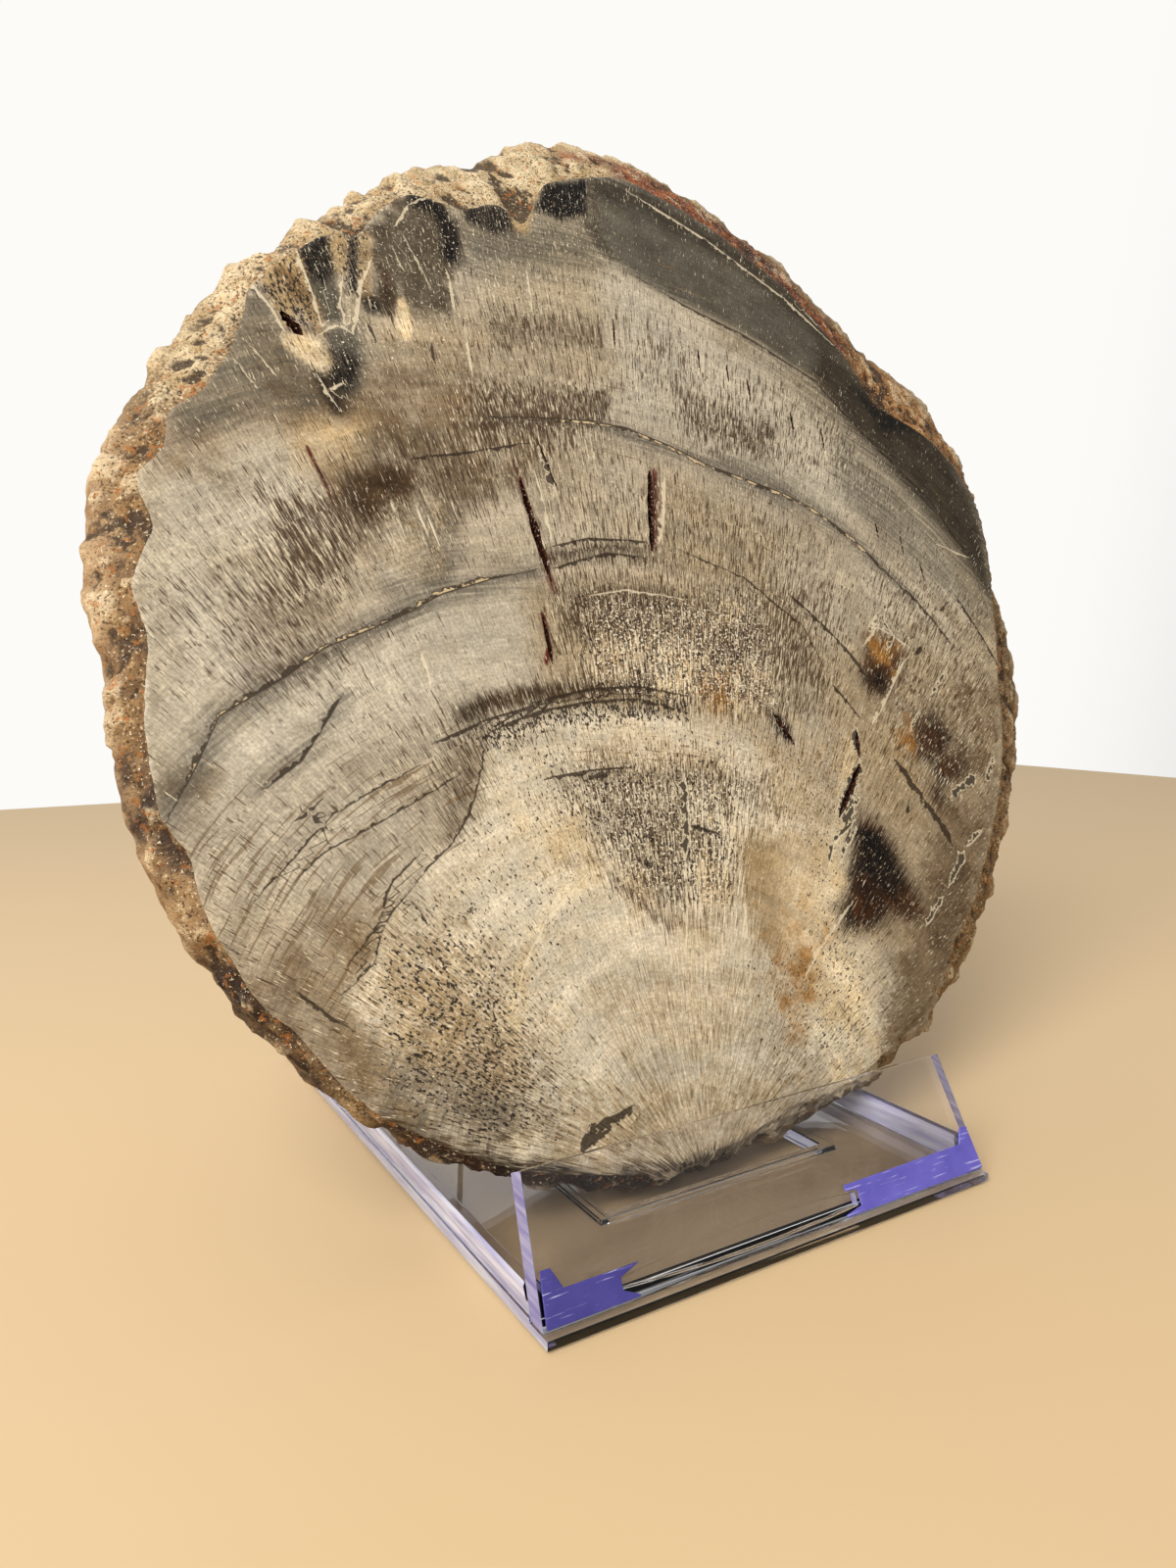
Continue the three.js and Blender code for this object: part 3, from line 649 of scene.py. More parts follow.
            (305, 314), (292, 330), (280, 312), (268, 288), (254, 282)]),
        (1.3, 1, [(337, 215), (352, 214), (354, 240), (352, 279), (343, 276), (338, 250)]),
        (1.3, 1, [(366, 230), (378, 240), (378, 300), (368, 302)]),
        (1.2, 1, [(508, 195), (538, 195), (544, 215), (538, 238), (526, 236), (520, 215)]),
    ]},
    {"name": "druseWhiteAndPaintedLight", "colours": ("#dfcdab", "#c8b087"), "ragged": 0.7, "grain": "fleck", "areas": [
        (1.6, 0.75, [(288, 344), (305, 339), (327, 346), (337, 369), (330, 379), (312, 371), (292, 354)]),
        (2.5, 1, [(662, 656), (704, 660), (712, 716), (670, 716)]),
        (6, 0.6, [(535, 835), (590, 830), (600, 870), (545, 880)]),
        # This pale patch is partly painted light: made paler to lift the right side, which the lamps from the
        # left leave darker.
        (5, 0.82, [(845, 965), (890, 960), (880, 1040), (860, 1095), (835, 1060)]),
        (4, 0.5, [(835, 1100), (895, 1085), (905, 1115), (850, 1150)]),
        (1.4, 0.9, [(704, 828), (730, 838), (756, 850)], 1.6),
        (3, 0.55, [(708, 872), (722, 866), (746, 905), (738, 930), (716, 925)]),
        (0.9, 1, [(406, 306), (412, 304), (421, 330), (419, 345), (412, 349), (404, 330)]),
        (1.2, 1, [(820, 310), (845, 318), (835, 330)]),
        (6, 0.3, [(410, 525), (440, 522), (440, 570), (415, 575)]),
        (2, 0.9, [(735, 614), (750, 611), (758, 622), (755, 638), (740, 636)]),
        (2.4, 0.6, [(525, 1040), (535, 980), (560, 930), (600, 890), (622, 886)], 2),
        (3, 0.6, [(598, 880), (624, 884), (610, 898)]),
        (2.4, 0.55, [(868, 760), (860, 830), (848, 870), (858, 900), (842, 915)], 2.5),
        (6, 0.3, [(800, 880), (845, 885), (850, 960), (810, 960)]),
        (4, 0.7, [(850, 1040), (890, 1030), (895, 1080), (855, 1085)]),
    ]},
]

# How much of each fine marking a place has: elsewhere, and in each area, drawn in the same way.
faceMarkings = {
    "dashes": (0.34, [
        (6, 0.12, [(500, 745), (700, 735), (860, 800), (880, 1000), (640, 1190), (430, 1130), (380, 980),
            (480, 850)]),
        (8, 0.5, [(150, 575), (250, 560), (330, 565), (335, 680), (240, 715), (150, 660)]),
        (6, 0.9, [(270, 500), (360, 505), (350, 600), (275, 600)]),
        (7, 0.85, [(465, 385), (612, 380), (620, 460), (470, 475)]),
        (6, 0.85, [(680, 380), (800, 400), (830, 480), (700, 455)]),
        (9, 0.6, [(560, 480), (800, 520), (880, 620), (860, 720), (700, 620), (560, 590)]),
        (8, 0.45, [(480, 290), (620, 290), (700, 380), (600, 400), (480, 380)]),
        (6, 0.6, [(640, 320), (860, 430), (910, 520), (760, 440), (640, 400)]),
        (8, 0.6, [(890, 560), (1000, 620), (1010, 800), (900, 780)]),
        (6, 0.95, [(560, 595), (820, 610), (830, 690), (560, 660)]),
        (6, 0.85, [(580, 660), (800, 690), (790, 740), (600, 705)]),
        (6, 0.65, [(576, 785), (785, 785), (740, 935), (640, 925)]),
        (5, 0.3, [(875, 835), (950, 835), (950, 950), (862, 950)]),
        (6, 0.5, [(390, 690), (600, 685), (600, 760), (400, 800)]),
        (7, 0.12, [(430, 600), (555, 600), (550, 690), (430, 720)]),
        (7, 0.2, [(150, 720), (330, 720), (330, 800), (180, 830)]),
        (9, 0.15, [(600, 950), (740, 950), (760, 1140), (600, 1130)]),
        (5, 0.12, [(620, 190), (960, 420), (1010, 620), (860, 400), (640, 270)]),
    ]),
    "flecks": (0, [
        (5, 0.5, [(500, 745), (760, 730), (860, 790), (880, 1080), (640, 1190), (400, 1130), (360, 1000),
            (470, 850)]),
        (7, 0.8, [(560, 780), (740, 765), (765, 930), (690, 960), (640, 880), (570, 830)]),
        (8, 0.82, [(380, 970), (470, 940), (530, 1000), (560, 1140), (480, 1165), (400, 1120)]),
        (5, 0.85, [(470, 1090), (540, 1090), (540, 1150), (480, 1160)]),
        (7, 0.55, [(780, 750), (865, 760), (865, 900), (780, 880)]),
        (5, 0.08, [(752, 852), (810, 852), (812, 960), (756, 960)]),
        (6, 0.75, [(560, 595), (780, 590), (800, 730), (600, 715)]),
        (7, 0.65, [(840, 930), (900, 960), (890, 1085), (800, 1090)]),
        (2.5, 1, [(470, 750), (560, 718), (700, 708), (710, 735), (560, 745), (490, 770)]),
        (9, 0.12, [(600, 950), (740, 930), (770, 1140), (620, 1130)]),
        (5, 0.6, [(690, 400), (790, 420), (800, 460), (700, 440)]),
        (8, 0.1, [(280, 770), (470, 790), (400, 900), (290, 880)]),
        (1.5, 0.9, [(256, 262), (288, 232), (304, 260), (327, 318), (327, 340), (292, 330), (254, 282)]),
        (1.5, 0.8, [(337, 215), (378, 230), (378, 300), (345, 290)]),
    ]),
    "paleSpecks": (0.06, [
        (5, 0.5, [(300, 190), (600, 180), (600, 330), (320, 400)]),
        (6, 0.95, [(590, 600), (780, 610), (800, 730), (600, 710)]),
        (5, 0.85, [(576, 785), (785, 785), (745, 935), (640, 925)]),
        (4, 0.25, [(862, 835), (950, 835), (950, 955), (862, 955)]),
        (6, 0.45, [(380, 950), (540, 950), (540, 1160), (400, 1120)]),
    ]),
    "whiteStreaks": (0.12, [
        (4, 1, [(688, 780), (765, 785), (765, 960), (690, 965)]),
        (6, 1, [(580, 640), (800, 630), (810, 730), (600, 705)]),
        (7, 0.45, [(480, 440), (700, 440), (700, 600), (560, 620)]),
        (5, 0.9, [(385, 505), (470, 505), (470, 560), (390, 565)]),
        (6, 0.6, [(820, 860), (890, 860), (900, 1000), (820, 990)]),
        (5, 0.6, [(690, 380), (800, 400), (820, 460), (700, 450)]),
        (6, 0.4, [(900, 700), (1000, 760), (1000, 860), (900, 820)]),
    ]),
    "ringLines": (0.15, [
        (8, 0.85, [(180, 830), (330, 790), (490, 745), (485, 830), (400, 930), (340, 1060), (210, 970)]),
        (5, 0.5, [(560, 745), (720, 735), (740, 790), (560, 800)]),
        (5, 0.4, [(600, 180), (1000, 500), (1010, 640), (860, 420), (620, 260)]),
    ]),
}

# Single lines, each its width in mm and its points: dark ones, pale ones, cracks with beads of pale
# filling, and slits with pale borders.
faceLines = {
    "crack": [
        (0.8, [(547, 582), (500, 590), (450, 605), (420, 622), (380, 640), (330, 660), (290, 690),
            (250, 713), (222, 730), (208, 762), (190, 800), (168, 842)]),
        (1, [(498, 425), (560, 428), (600, 431), (640, 438), (680, 455), (720, 475), (760, 490), (800, 505),
            (832, 522), (870, 550), (900, 580), (932, 612)]),
    ],
    "slit": [
        (2.4, [(874, 743), (871, 755), (876, 772)]),
        (3, [(878, 777), (870, 801), (857, 830)]),
        (2.4, [(877, 812), (860, 840)]),
        (1.2, [(872, 838), (850, 858), (845, 884)]),
        (1.2, [(874, 846), (862, 866), (856, 884)]),
        (1.6, [(951, 706), (966, 684)]),
        (1.4, [(929, 746), (937, 728)]),
        (2.2, [(970, 814), (996, 791)]),
        (1.6, [(1006, 796), (1014, 772)]),
        (1.2, [(906, 608), (900, 632), (912, 650), (905, 664)]),
        (1.2, [(1003, 845), (986, 864)]),
        (2.2, [(984, 868), (968, 904)]),
        (1.4, [(962, 915), (945, 944)]),
        (1.2, [(534, 500), (545, 532), (556, 566)]),
        (1.7, [(549, 455), (558, 478), (568, 506)]),
        (2, [(697, 792), (700, 835), (699, 878)]),
        (1.2, [(410, 318), (414, 330)]),
    ],
    "darkLine": [
        (0.6, [(650, 283), (700, 313), (760, 343), (830, 388), (880, 442), (950, 512), (990, 572),
            (1008, 625)]),
        (1.1, [(804, 605), (845, 644), (872, 673), (888, 698)]),
        (0.9, [(923, 600), (950, 631), (971, 658)]),
        (0.9, [(974, 607), (998, 644), (1020, 682)]),
        (0.8, [(850, 699), (864, 716), (878, 734)]),
        (1.8, [(914, 776), (935, 806), (950, 828), (964, 845), (972, 864)]),
        (0.6, [(350, 708), (330, 740), (308, 775), (270, 805)]),
        (0.8, [(498, 747), (550, 727), (600, 717), (650, 714), (702, 727)]),
        (0.7, [(540, 718), (600, 704), (650, 701), (700, 710)]),
        (0.6, [(440, 760), (500, 734), (560, 716)]),
        (0.6, [(555, 795), (600, 787), (645, 783)]),
        (0.7, [(557, 560), (600, 550), (660, 553)]),
        (0.7, [(565, 580), (620, 565), (660, 570)]),
        (0.4, [(690, 560), (760, 590), (820, 640), (840, 680)]),
        (0.6, [(420, 468), (480, 462), (540, 452)]),
        (0.4, [(498, 750), (490, 790), (480, 830), (460, 862), (430, 892), (392, 942), (380, 985),
            (350, 1015)]),
        (0.4, [(470, 790), (385, 840), (330, 870), (300, 900)]),
        (0.4, [(430, 870), (400, 900), (385, 945), (355, 985)]),
        (0.3, [(430, 780), (340, 830), (260, 920)]),
        (0.5, [(300, 1010), (340, 1040), (360, 1052)]),
        (0.6, [(310, 822), (322, 835), (335, 848)]),
        (0.5, [(300, 838), (318, 828), (330, 815)]),
        (0.5, [(418, 918), (437, 943)]),
        (0.5, [(377, 331), (384, 350)]),
        (0.5, [(440, 350), (444, 370)]),
        (0.5, [(472, 325), (478, 350)]),
        (0.8, [(959, 624), (968, 614)]),
        (1.1, [(935, 668), (940, 660)]),
        (0.8, [(925, 830), (929, 815)]),
        (0.8, [(600, 795), (620, 790)]),
        (0.8, [(705, 842), (735, 852)]),
        (2.4, [(594, 1174), (604, 1158), (613, 1146)]),
        (0.8, [(600, 1170), (614, 1158), (624, 1152)]),
        (1.2, [(610, 1148), (632, 1139), (649, 1128)]),
        (0.6, [(255, 289), (262, 300)]),
    ],
    "paleLine": [
        (0.6, [(699, 873), (701, 930), (699, 985)]),
        (0.6, [(755, 800), (748, 850), (738, 900)]),
        (0.7, [(760, 920), (762, 960)]),
        (0.5, [(525, 1040), (535, 985), (560, 935), (600, 892)]),
        (0.5, [(545, 480), (556, 520), (564, 556)]),
        (0.8, [(678, 485), (677, 520), (673, 556)]),
        (0.4, [(600, 608), (640, 602), (700, 612)]),
        (0.6, [(430, 668), (440, 700)]),
        (0.5, [(537, 275), (543, 318)]),
        (0.6, [(455, 274), (461, 300), (464, 318)]),
        (0.25, [(398, 250), (412, 276)]),
        (0.25, [(410, 238), (430, 276)]),
        (0.25, [(424, 262), (440, 296)]),
        (0.3, [(255, 352), (282, 384)]),
        (0.25, [(238, 366), (262, 396)]),
        (0.5, [(474, 330), (478, 360), (482, 384)]),
        (0.4, [(402, 232), (414, 212), (429, 203), (441, 202)]),
        (0.5, [(625, 320), (628, 360)]),
        (0.5, [(742, 375), (745, 392)]),
        (0.5, [(838, 440), (844, 470)]),
        (0.4, [(955, 555), (990, 570)]),
        (0.6, [(870, 920), (835, 970), (820, 1000)]),
        (0.7, [(924, 672), (912, 696), (900, 722), (888, 742)]),
        (0.7, [(886, 640), (896, 625)]),
        (0.5, [(880, 660), (895, 640), (912, 650), (930, 662)]),
        (0.6, [(252, 285), (275, 312), (292, 341)]),
        (0.7, [(295, 238), (306, 268), (318, 300), (327, 330)]),
        (0.5, [(349, 280), (346, 310), (352, 328)]),
        (0.6, [(380, 262), (368, 290), (364, 324), (359, 339), (344, 331), (327, 341)]),
        (0.5, [(322, 381), (336, 404), (347, 421)]),
        (0.4, [(335, 398), (349, 391)]),
        (0.6, [(640, 195), (720, 245), (800, 305), (850, 352)]),
        (0.8, [(815, 308), (840, 330), (860, 356)]),
    ],
}

# Colours of the bark, laid on in the same way.
barkPaint = [
    {"name": "barkTan", "colours": ("#b0926c", "#8b6c4b"), "ragged": 1, "grain": "blotch", "areas": [
        (6, 1, [(60, 420), (140, 420), (120, 500), (135, 620), (130, 740), (180, 880), (260, 1010),
            (200, 1020), (120, 900), (60, 700)]),
    ]},
    {"name": "barkHoney", "colours": ("#8c6a3f", "#64492b"), "ragged": 1.2, "grain": "grain", "areas": [
        (2.5, 1, [(160, 440), (128, 500), (150, 545), (132, 600), (140, 680), (142, 760)], 5),
        (2.5, 0.5, [(142, 760), (165, 850), (190, 930), (250, 1010)], 3),
    ]},
    {"name": "barkCream", "colours": ("#c6b18c", "#a98f66"), "ragged": 1.1, "grain": "grain", "areas": [
        (4, 1, [(170, 350), (230, 270), (330, 200), (420, 150), (560, 130), (650, 140), (640, 180),
            (598, 190), (540, 235), (470, 215), (400, 200), (345, 240), (300, 245), (240, 330), (200, 400),
            (165, 400)]),
    ]},
    {"name": "barkRust", "colours": ("#93502a", "#5e2c17"), "ragged": 1.3, "grain": "grain", "areas": [
        (3.5, 1, [(640, 178), (700, 210), (770, 255), (850, 345), (900, 380)], 9),
        (2.5, 0.8, [(580, 150), (650, 165), (700, 200)], 3),
    ]},
    {"name": "barkGold", "colours": ("#a97a45", "#7a522a"), "ragged": 1.2, "grain": "blotch", "areas": [
        (4, 1, [(860, 340), (930, 380), (980, 450), (985, 490), (940, 460), (880, 400)]),
    ]},
    # Brown bark down the right side, painted darker: its dark colour is partly painted shade for the side
    # turned away from the light.
    {"name": "shadedBarkStrip", "colours": ("#8f7450", "#745b3b"), "ragged": 0.9, "grain": "blotch", "areas": [
        (5, 1, [(985, 520), (1040, 620), (1060, 720), (1030, 920), (960, 1040), (880, 1130), (870, 1080),
            (990, 930), (1020, 700)]),
    ]},
    {"name": "barkDark", "colours": ("#3c2517", "#26180f"), "ragged": 1.5, "grain": "blotch", "areas": [
        (5, 0.75, [(245, 1000), (300, 1060), (330, 1100)], 8),
        (5, 0.9, [(400, 1160), (480, 1195), (560, 1210), (660, 1212), (740, 1190)], 10),
        (4, 1, [(440, 1185), (520, 1200), (600, 1205)], 16),
        (4, 0.7, [(130, 800), (160, 850)], 5),
        (2, 0.9, [(870, 380), (900, 415)], 3),
        (3, 0.6, [(760, 255), (790, 275)], 4),
    ]},
]


def readRows(rows, spots, index):
    low = np.clip(np.floor(spots).astype(int), 0, len(rows) - 2)
    left = np.floor(index).astype(int) % rows.shape[1]
    right = (left + 1) % rows.shape[1]
    t, s = spots - low, index - np.floor(index)
    lower = rows[low, left] * (1 - s) + rows[low, right] * s
    upper = rows[low + 1, left] * (1 - s) + rows[low + 1, right] * s
    return lower * (1 - t) + upper * t


rimShare, rimReach = aroundCentre(facePlace[:, 0], facePlace[:, 1])
ringIndex = rimShare * slicePlan["around"]
insideEdge = rimRadii[0][np.round(ringIndex).astype(int) % slicePlan["around"]] - rimReach
smoothRows = smoothRound(rimRadii, slicePlan["knobSmoothing"])
rowSpots = np.interp(behindFace, slicePlan["rowDepths"], range(len(smoothRows)))
rayPlace = facePlace - np.array(slicePlan["pith"])
addAttribute("fromPith", np.hypot(rayPlace[:, 0], rayPlace[:, 1]))
addAttribute("rayTurn", np.arctan2(rayPlace[:, 0], rayPlace[:, 1]))
addAttribute("behindFace", behindFace)
knobHeight = rimReach - readRows(smoothRows, rowSpots, ringIndex)
addAttribute("knobHeight", np.clip(knobHeight, -slicePlan["knobLimit"], slicePlan["knobLimit"]))
for layer in facePaint + barkPaint:
    addAttribute(layer["name"], areaCover(layer["areas"]))
for name, (elsewhere, areas) in faceMarkings.items():
    addAttribute(name, areaAmount(areas, elsewhere))
for name, lines in faceLines.items():
    addLines(name, lines)
print("slice attributes", len(cutMesh.attributes))

# Polished petrified wood: silica that kept the wood's rings and rays, sawn and polished by hand. The eye
# gets a stone gloss, short brown dashes along the rays, black flecks in the heart and faint ring bands.
stonePlan = {
    "base": ("#aea089", "#998a71"),
    "bandWidth": 13.0,            # mm of growth between breaks in the rays
    "ringWander": 5.0,            # mm that the rings stray from true circles
    "wanderSize": 45.45,          # mm
    "roundRing": 110.0,           # mm of ring grain in a radian
    "polishedRoughness": 0.3,
    "sawnRoughness": 0.6,
    "gloss": 0.28,
    "bandShift": 5.7,             # moves the grain from band to band
    "twoShades": (0.4, 0.6),      # the noise where one shade of a pair gives way to the other
    "fray": 1.6,                  # how far the grain frays a painted area
    # Each grain's part in the tone: half the span of its noise that counts, and how far it swings the tone.
    "hair": (0.12, 0.26),
    "tones": (("ringTone", 0.15, 0.14), ("grain", 0.14, 0.2), ("bead", 0.14, 0.1),
              ("ringHair", 0.2, 0.1), ("blotch", 0.14, 0.14), ("cloud", 0.1, 0.08)),
    # From and to, and what comes out at either end.
    "hairByDashes": (0.1, 0.8, 0.35, 1.2),
    "lineWidthByBead": (0.32, 0.68, 0.1, 1.8),
    "lineStray": 0.8,             # mm that a line strays with the bead grain
    "lineEdge": (-0.16, 0.1),     # mm
    "middleEdge": 0.1,
    "middleMost": 0.9,
    "filling": (0.48, 0.54),      # the blotch grain where a crack is filled
    "fleckEdge": (0.02, 0.1),     # no flecks at all outside their areas
    "marksRougher": 0.3,
    "roughest": 0.9,
    "marksDepth": 0.15,           # mm
}

# What each grain follows, and its size in millimetres across and along it. The finest grain and pores
# are thinner than this, and drawn as coarse as they need to show.
grainSizes = {
    "dash": ("ray", 0.36, 3.6),
    "tick": ("ray", 0.32, 2.4),
    "fleck": ("ray", 0.48, 1.0),
    "streak": ("ray", 0.7, 13.0),
    "hair": ("ray", 0.26, 9.0),
    "ring": ("ring", 17.0, 0.9),
    "ringTone": ("ring", 90.0, 5.5),
    "ringHair": ("ring", 12.0, 0.5),
    "blotch": ("spot", 6.0, 6.0),
    "cloud": ("spot", 27.0, 27.0),
    "grain": ("spot", 0.6, 0.6),
    "bead": ("spot", 2.0, 2.0),
}

# Fine markings: which amount, which grain, the colour, the limit that the grain has to pass, how softly,
# how far a full amount lowers that limit, and the most that the colour covers.
markings = [
    ("ringLines", "ring", "#6a5334", 0.7, 0.06, 0.2, 0.7),
    ("dashes", "tick", "#d9caab", 0.68, 0.04, 0.16, 0.75),
    ("whiteStreaks", "streak", "#e6d9be", 0.75, 0.06, 0.2, 0.7),
    ("dashes", "dash", "#432f1b", 0.68, 0.05, 0.24, 0.85),
    ("flecks", "fleck", "#1d120d", 0.735, 0.03, 0.24, 0.95),
    ("paleSpecks", "grain", "#e8dcc4", 0.72, 0.03, 0.16, 0.9),
]

# Single lines: colour of the line, colour of its middle and how far in that middle begins, in mm.
lineStyles = {
    "darkLine": {"colour": "#2a1d10", "most": 0.9},
    "paleLine": {"colour": "#dccdae", "most": 0.65},
    "crack": {"colour": "#33271a", "most": 0.9, "middle": "#c7b08a", "inset": 0.3, "beaded": True},
    "slit": {"colour": "#cdbfa2", "most": 0.75, "middle": "#261b10", "inset": 0.4},
}


def stoneGrains(tree):
    plan = stonePlan
    place = addNode(tree, "TexCoord").outputs["Object"]
    stood = addNode(tree, "VectorRotate", {"rotation_type": "X_AXIS", "Angle": lean - math.pi / 2},
                    {"Vector": place})
    inMm = addNode(tree, "VectorMath", {"operation": "SCALE", "Scale": 1 / mm}, {0: stood})
    fromPith = addNode(tree, "Attribute", {"attribute_name": "fromPith"}).outputs["Fac"]
    rayTurn = addNode(tree, "Attribute", {"attribute_name": "rayTurn"}).outputs["Fac"]
    wander = addNode(tree, "TexNoise", {"Scale": 1 / plan["wanderSize"], "Detail": 2.0}, {"Vector": inMm})
    ringMm = addNode(tree, "Math", {"operation": "MULTIPLY_ADD", 1: plan["ringWander"] * 2},
                     {0: wander, 2: fromPith})
    band = addNode(tree, "Math", {"operation": "DIVIDE", 1: plan["bandWidth"]}, {0: ringMm})
    whole = addNode(tree, "Math", {"operation": "FLOOR"}, {0: band})
    middle = addNode(tree, "Math", {"operation": "MULTIPLY_ADD", 1: plan["bandWidth"],
                                    2: plan["bandWidth"] / 2}, {0: whole})
    across = addNode(tree, "Math", {"operation": "MULTIPLY"}, {0: middle, 1: rayTurn})
    acrossRings = addNode(tree, "Math", {"operation": "MULTIPLY", 1: plan["roundRing"]}, {0: rayTurn})
    shift = addNode(tree, "Math", {"operation": "MULTIPLY", 1: plan["bandShift"]}, {0: whole})
    sources = {
        "ray": addNode(tree, "CombineXYZ", {}, {0: across, 1: ringMm, 2: shift}),
        "ring": addNode(tree, "CombineXYZ", {}, {0: acrossRings, 1: ringMm}),
        "spot": inMm,
    }
    grains = {}
    for name, (follows, wide, long) in grainSizes.items():
        deep = 1 / wide if follows == "spot" else 1.0
        sized = addNode(tree, "VectorMath", {"operation": "MULTIPLY", 1: (1 / wide, 1 / long, deep)},
                        {0: sources[follows]})
        grains[name] = addNode(tree, "TexNoise", {"Scale": 1.0, "Detail": 3.0, "Roughness": 0.6},
                               {"Vector": sized})
    return grains


def mottle(tree, grain, low, high, colours):
    # Two shades, mixed as the grain goes from low to high.
    share = addNode(tree, "MapRange", {1: low, 2: high}, {0: grain})
    mixed = addNode(tree, "Mix", {"data_type": "RGBA", 6: toLinear(colours[0]), 7: toLinear(colours[1])},
                    {0: share})
    return mixed.outputs[2]


def layOver(tree, colour, value, low, high, most, hexColour, where=None):
    # Lays a colour on as the value goes from low to high, and gives the share of it as well.
    share = addNode(tree, "MapRange", {"interpolation_type": "SMOOTHSTEP", 1: low, 2: high, 4: most},
                    {0: value})
    if where:
        share = addNode(tree, "Math", {"operation": "MULTIPLY"}, {0: share, 1: where})
    mixed = addNode(tree, "Mix", {"data_type": "RGBA", 7: toLinear(hexColour)}, {0: share, 6: colour})
    return mixed.outputs[2], share


def paintLayers(tree, grains, colour, layers):
    for layer in layers:
        ragged = layer["ragged"] * stonePlan["fray"]
        cover = addNode(tree, "Attribute", {"attribute_name": layer["name"]}).outputs["Fac"]
        frayed = addNode(tree, "Math", {"operation": "MULTIPLY_ADD", 1: ragged * 2},
                         {0: grains[layer["grain"]], 2: cover})
        share = addNode(tree, "MapRange", {"interpolation_type": "SMOOTHSTEP", 1: ragged - 1, 2: ragged + 1},
                        {0: frayed})
        shades = mottle(tree, grains["blotch"], *stonePlan["twoShades"], layer["colours"])
        mixed = addNode(tree, "Mix", {"data_type": "RGBA"}, {0: share, 6: colour, 7: shades})
        colour = mixed.outputs[2]
    return colour


def makeStone(name, smooth, bumpStrength):
    plan = stonePlan
    material, tree, shader = newMaterial(name, {"Specular IOR Level": plan["gloss"]})
    grains = stoneGrains(tree)
    colour = mottle(tree, grains["cloud"], *plan["twoShades"], plan["base"])
    colour = paintLayers(tree, grains, colour, facePaint)
    # The hair grain is stronger where there are more dashes.
    span, swing = plan["hair"]
    dashes = addNode(tree, "Attribute", {"attribute_name": "dashes"}).outputs["Fac"]
    hairShare = addNode(tree, "MapRange", dict(enumerate(plan["hairByDashes"], 1)), {0: dashes})
    hairStep = addNode(tree, "MapRange", {1: 0.5 - span, 2: 0.5 + span, 3: -swing, 4: swing},
                       {0: grains["hair"]})
    tone = addNode(tree, "Math", {"operation": "MULTIPLY_ADD", 2: 1.0}, {0: hairShare, 1: hairStep})
    for grainName, span, swing in plan["tones"]:
        step = addNode(tree, "MapRange", {1: 0.5 - span, 2: 0.5 + span, 3: 1 - swing, 4: 1 + swing},
                       {0: grains[grainName]})
        tone = addNode(tree, "Math", {"operation": "MULTIPLY"}, {0: tone, 1: step})
    colour = addNode(tree, "VectorMath", {"operation": "SCALE"}, {0: colour, "Scale": tone}).outputs[0]
    shares = []
    smoothly = {"interpolation_type": "SMOOTHSTEP"}
    for amountName, grainName, shade, limit, soft, reach, most in markings:
        amount = addNode(tree, "Attribute", {"attribute_name": amountName}).outputs["Fac"]
        raised = addNode(tree, "Math", {"operation": "MULTIPLY_ADD", 1: reach},
                         {0: amount, 2: grains[grainName]})
        where = None
        if amountName == "flecks":
            where = addNode(tree, "MapRange", smoothly | dict(enumerate(plan["fleckEdge"], 1)), {0: amount})
        colour, share = layOver(tree, colour, raised, limit, limit + soft, most, shade, where)
        shares.append(share)
    # The lines' width and path follow the bead grain.
    beads = addNode(tree, "MapRange", dict(enumerate(plan["lineWidthByBead"], 1)), {0: grains["bead"]})
    strayed = addNode(tree, "Math", {"operation": "MULTIPLY_ADD", 1: plan["lineStray"] * 2,
                                     2: -plan["lineStray"]}, {0: grains["bead"]})
    filled = addNode(tree, "MapRange", smoothly | dict(enumerate(plan["filling"], 1)), {0: grains["blotch"]})
    for family, style in lineStyles.items():
        side = addNode(tree, "Attribute", {"attribute_name": family + "Side"}).outputs["Fac"]
        width = addNode(tree, "Attribute", {"attribute_name": family + "Width"}).outputs["Fac"]
        off = addNode(tree, "Math", {"operation": "ADD"}, {0: side, 1: strayed})
        off = addNode(tree, "Math", {"operation": "ABSOLUTE"}, {0: off})
        wide = addNode(tree, "Math", {"operation": "MULTIPLY"}, {0: width, 1: beads})
        within = addNode(tree, "Math", {"operation": "SUBTRACT"}, {0: wide, 1: off})
        colour, share = layOver(tree, colour, within, *plan["lineEdge"], style["most"], style["colour"])
        shares.append(share)
        if "middle" in style:
            low, high = style["inset"] - plan["middleEdge"], style["inset"] + plan["middleEdge"]
            colour, _ = layOver(tree, colour, within, low, high, plan["middleMost"], style["middle"],
                                filled if style.get("beaded") else None)
    marked = shares[0]
    for share in shares[1:]:
        marked = addNode(tree, "Math", {"operation": "MAXIMUM"}, {0: marked, 1: share})
    # Markings are sunk a little and less polished than the stone round them.
    dull = min(smooth + plan["marksRougher"], plan["roughest"])
    roughness = addNode(tree, "MapRange", {3: smooth, 4: dull}, {0: marked})
    height = addNode(tree, "Math", {"operation": "MULTIPLY_ADD", 1: -1.0}, {0: marked, 2: grains["grain"]})
    bump = addNode(tree, "Bump", {"Strength": bumpStrength, "Distance": plan["marksDepth"] * mm},
                   {"Height": height})
    joinUp(tree, shader, {"Base Color": colour, "Roughness": roughness, "Normal": bump})
    return material
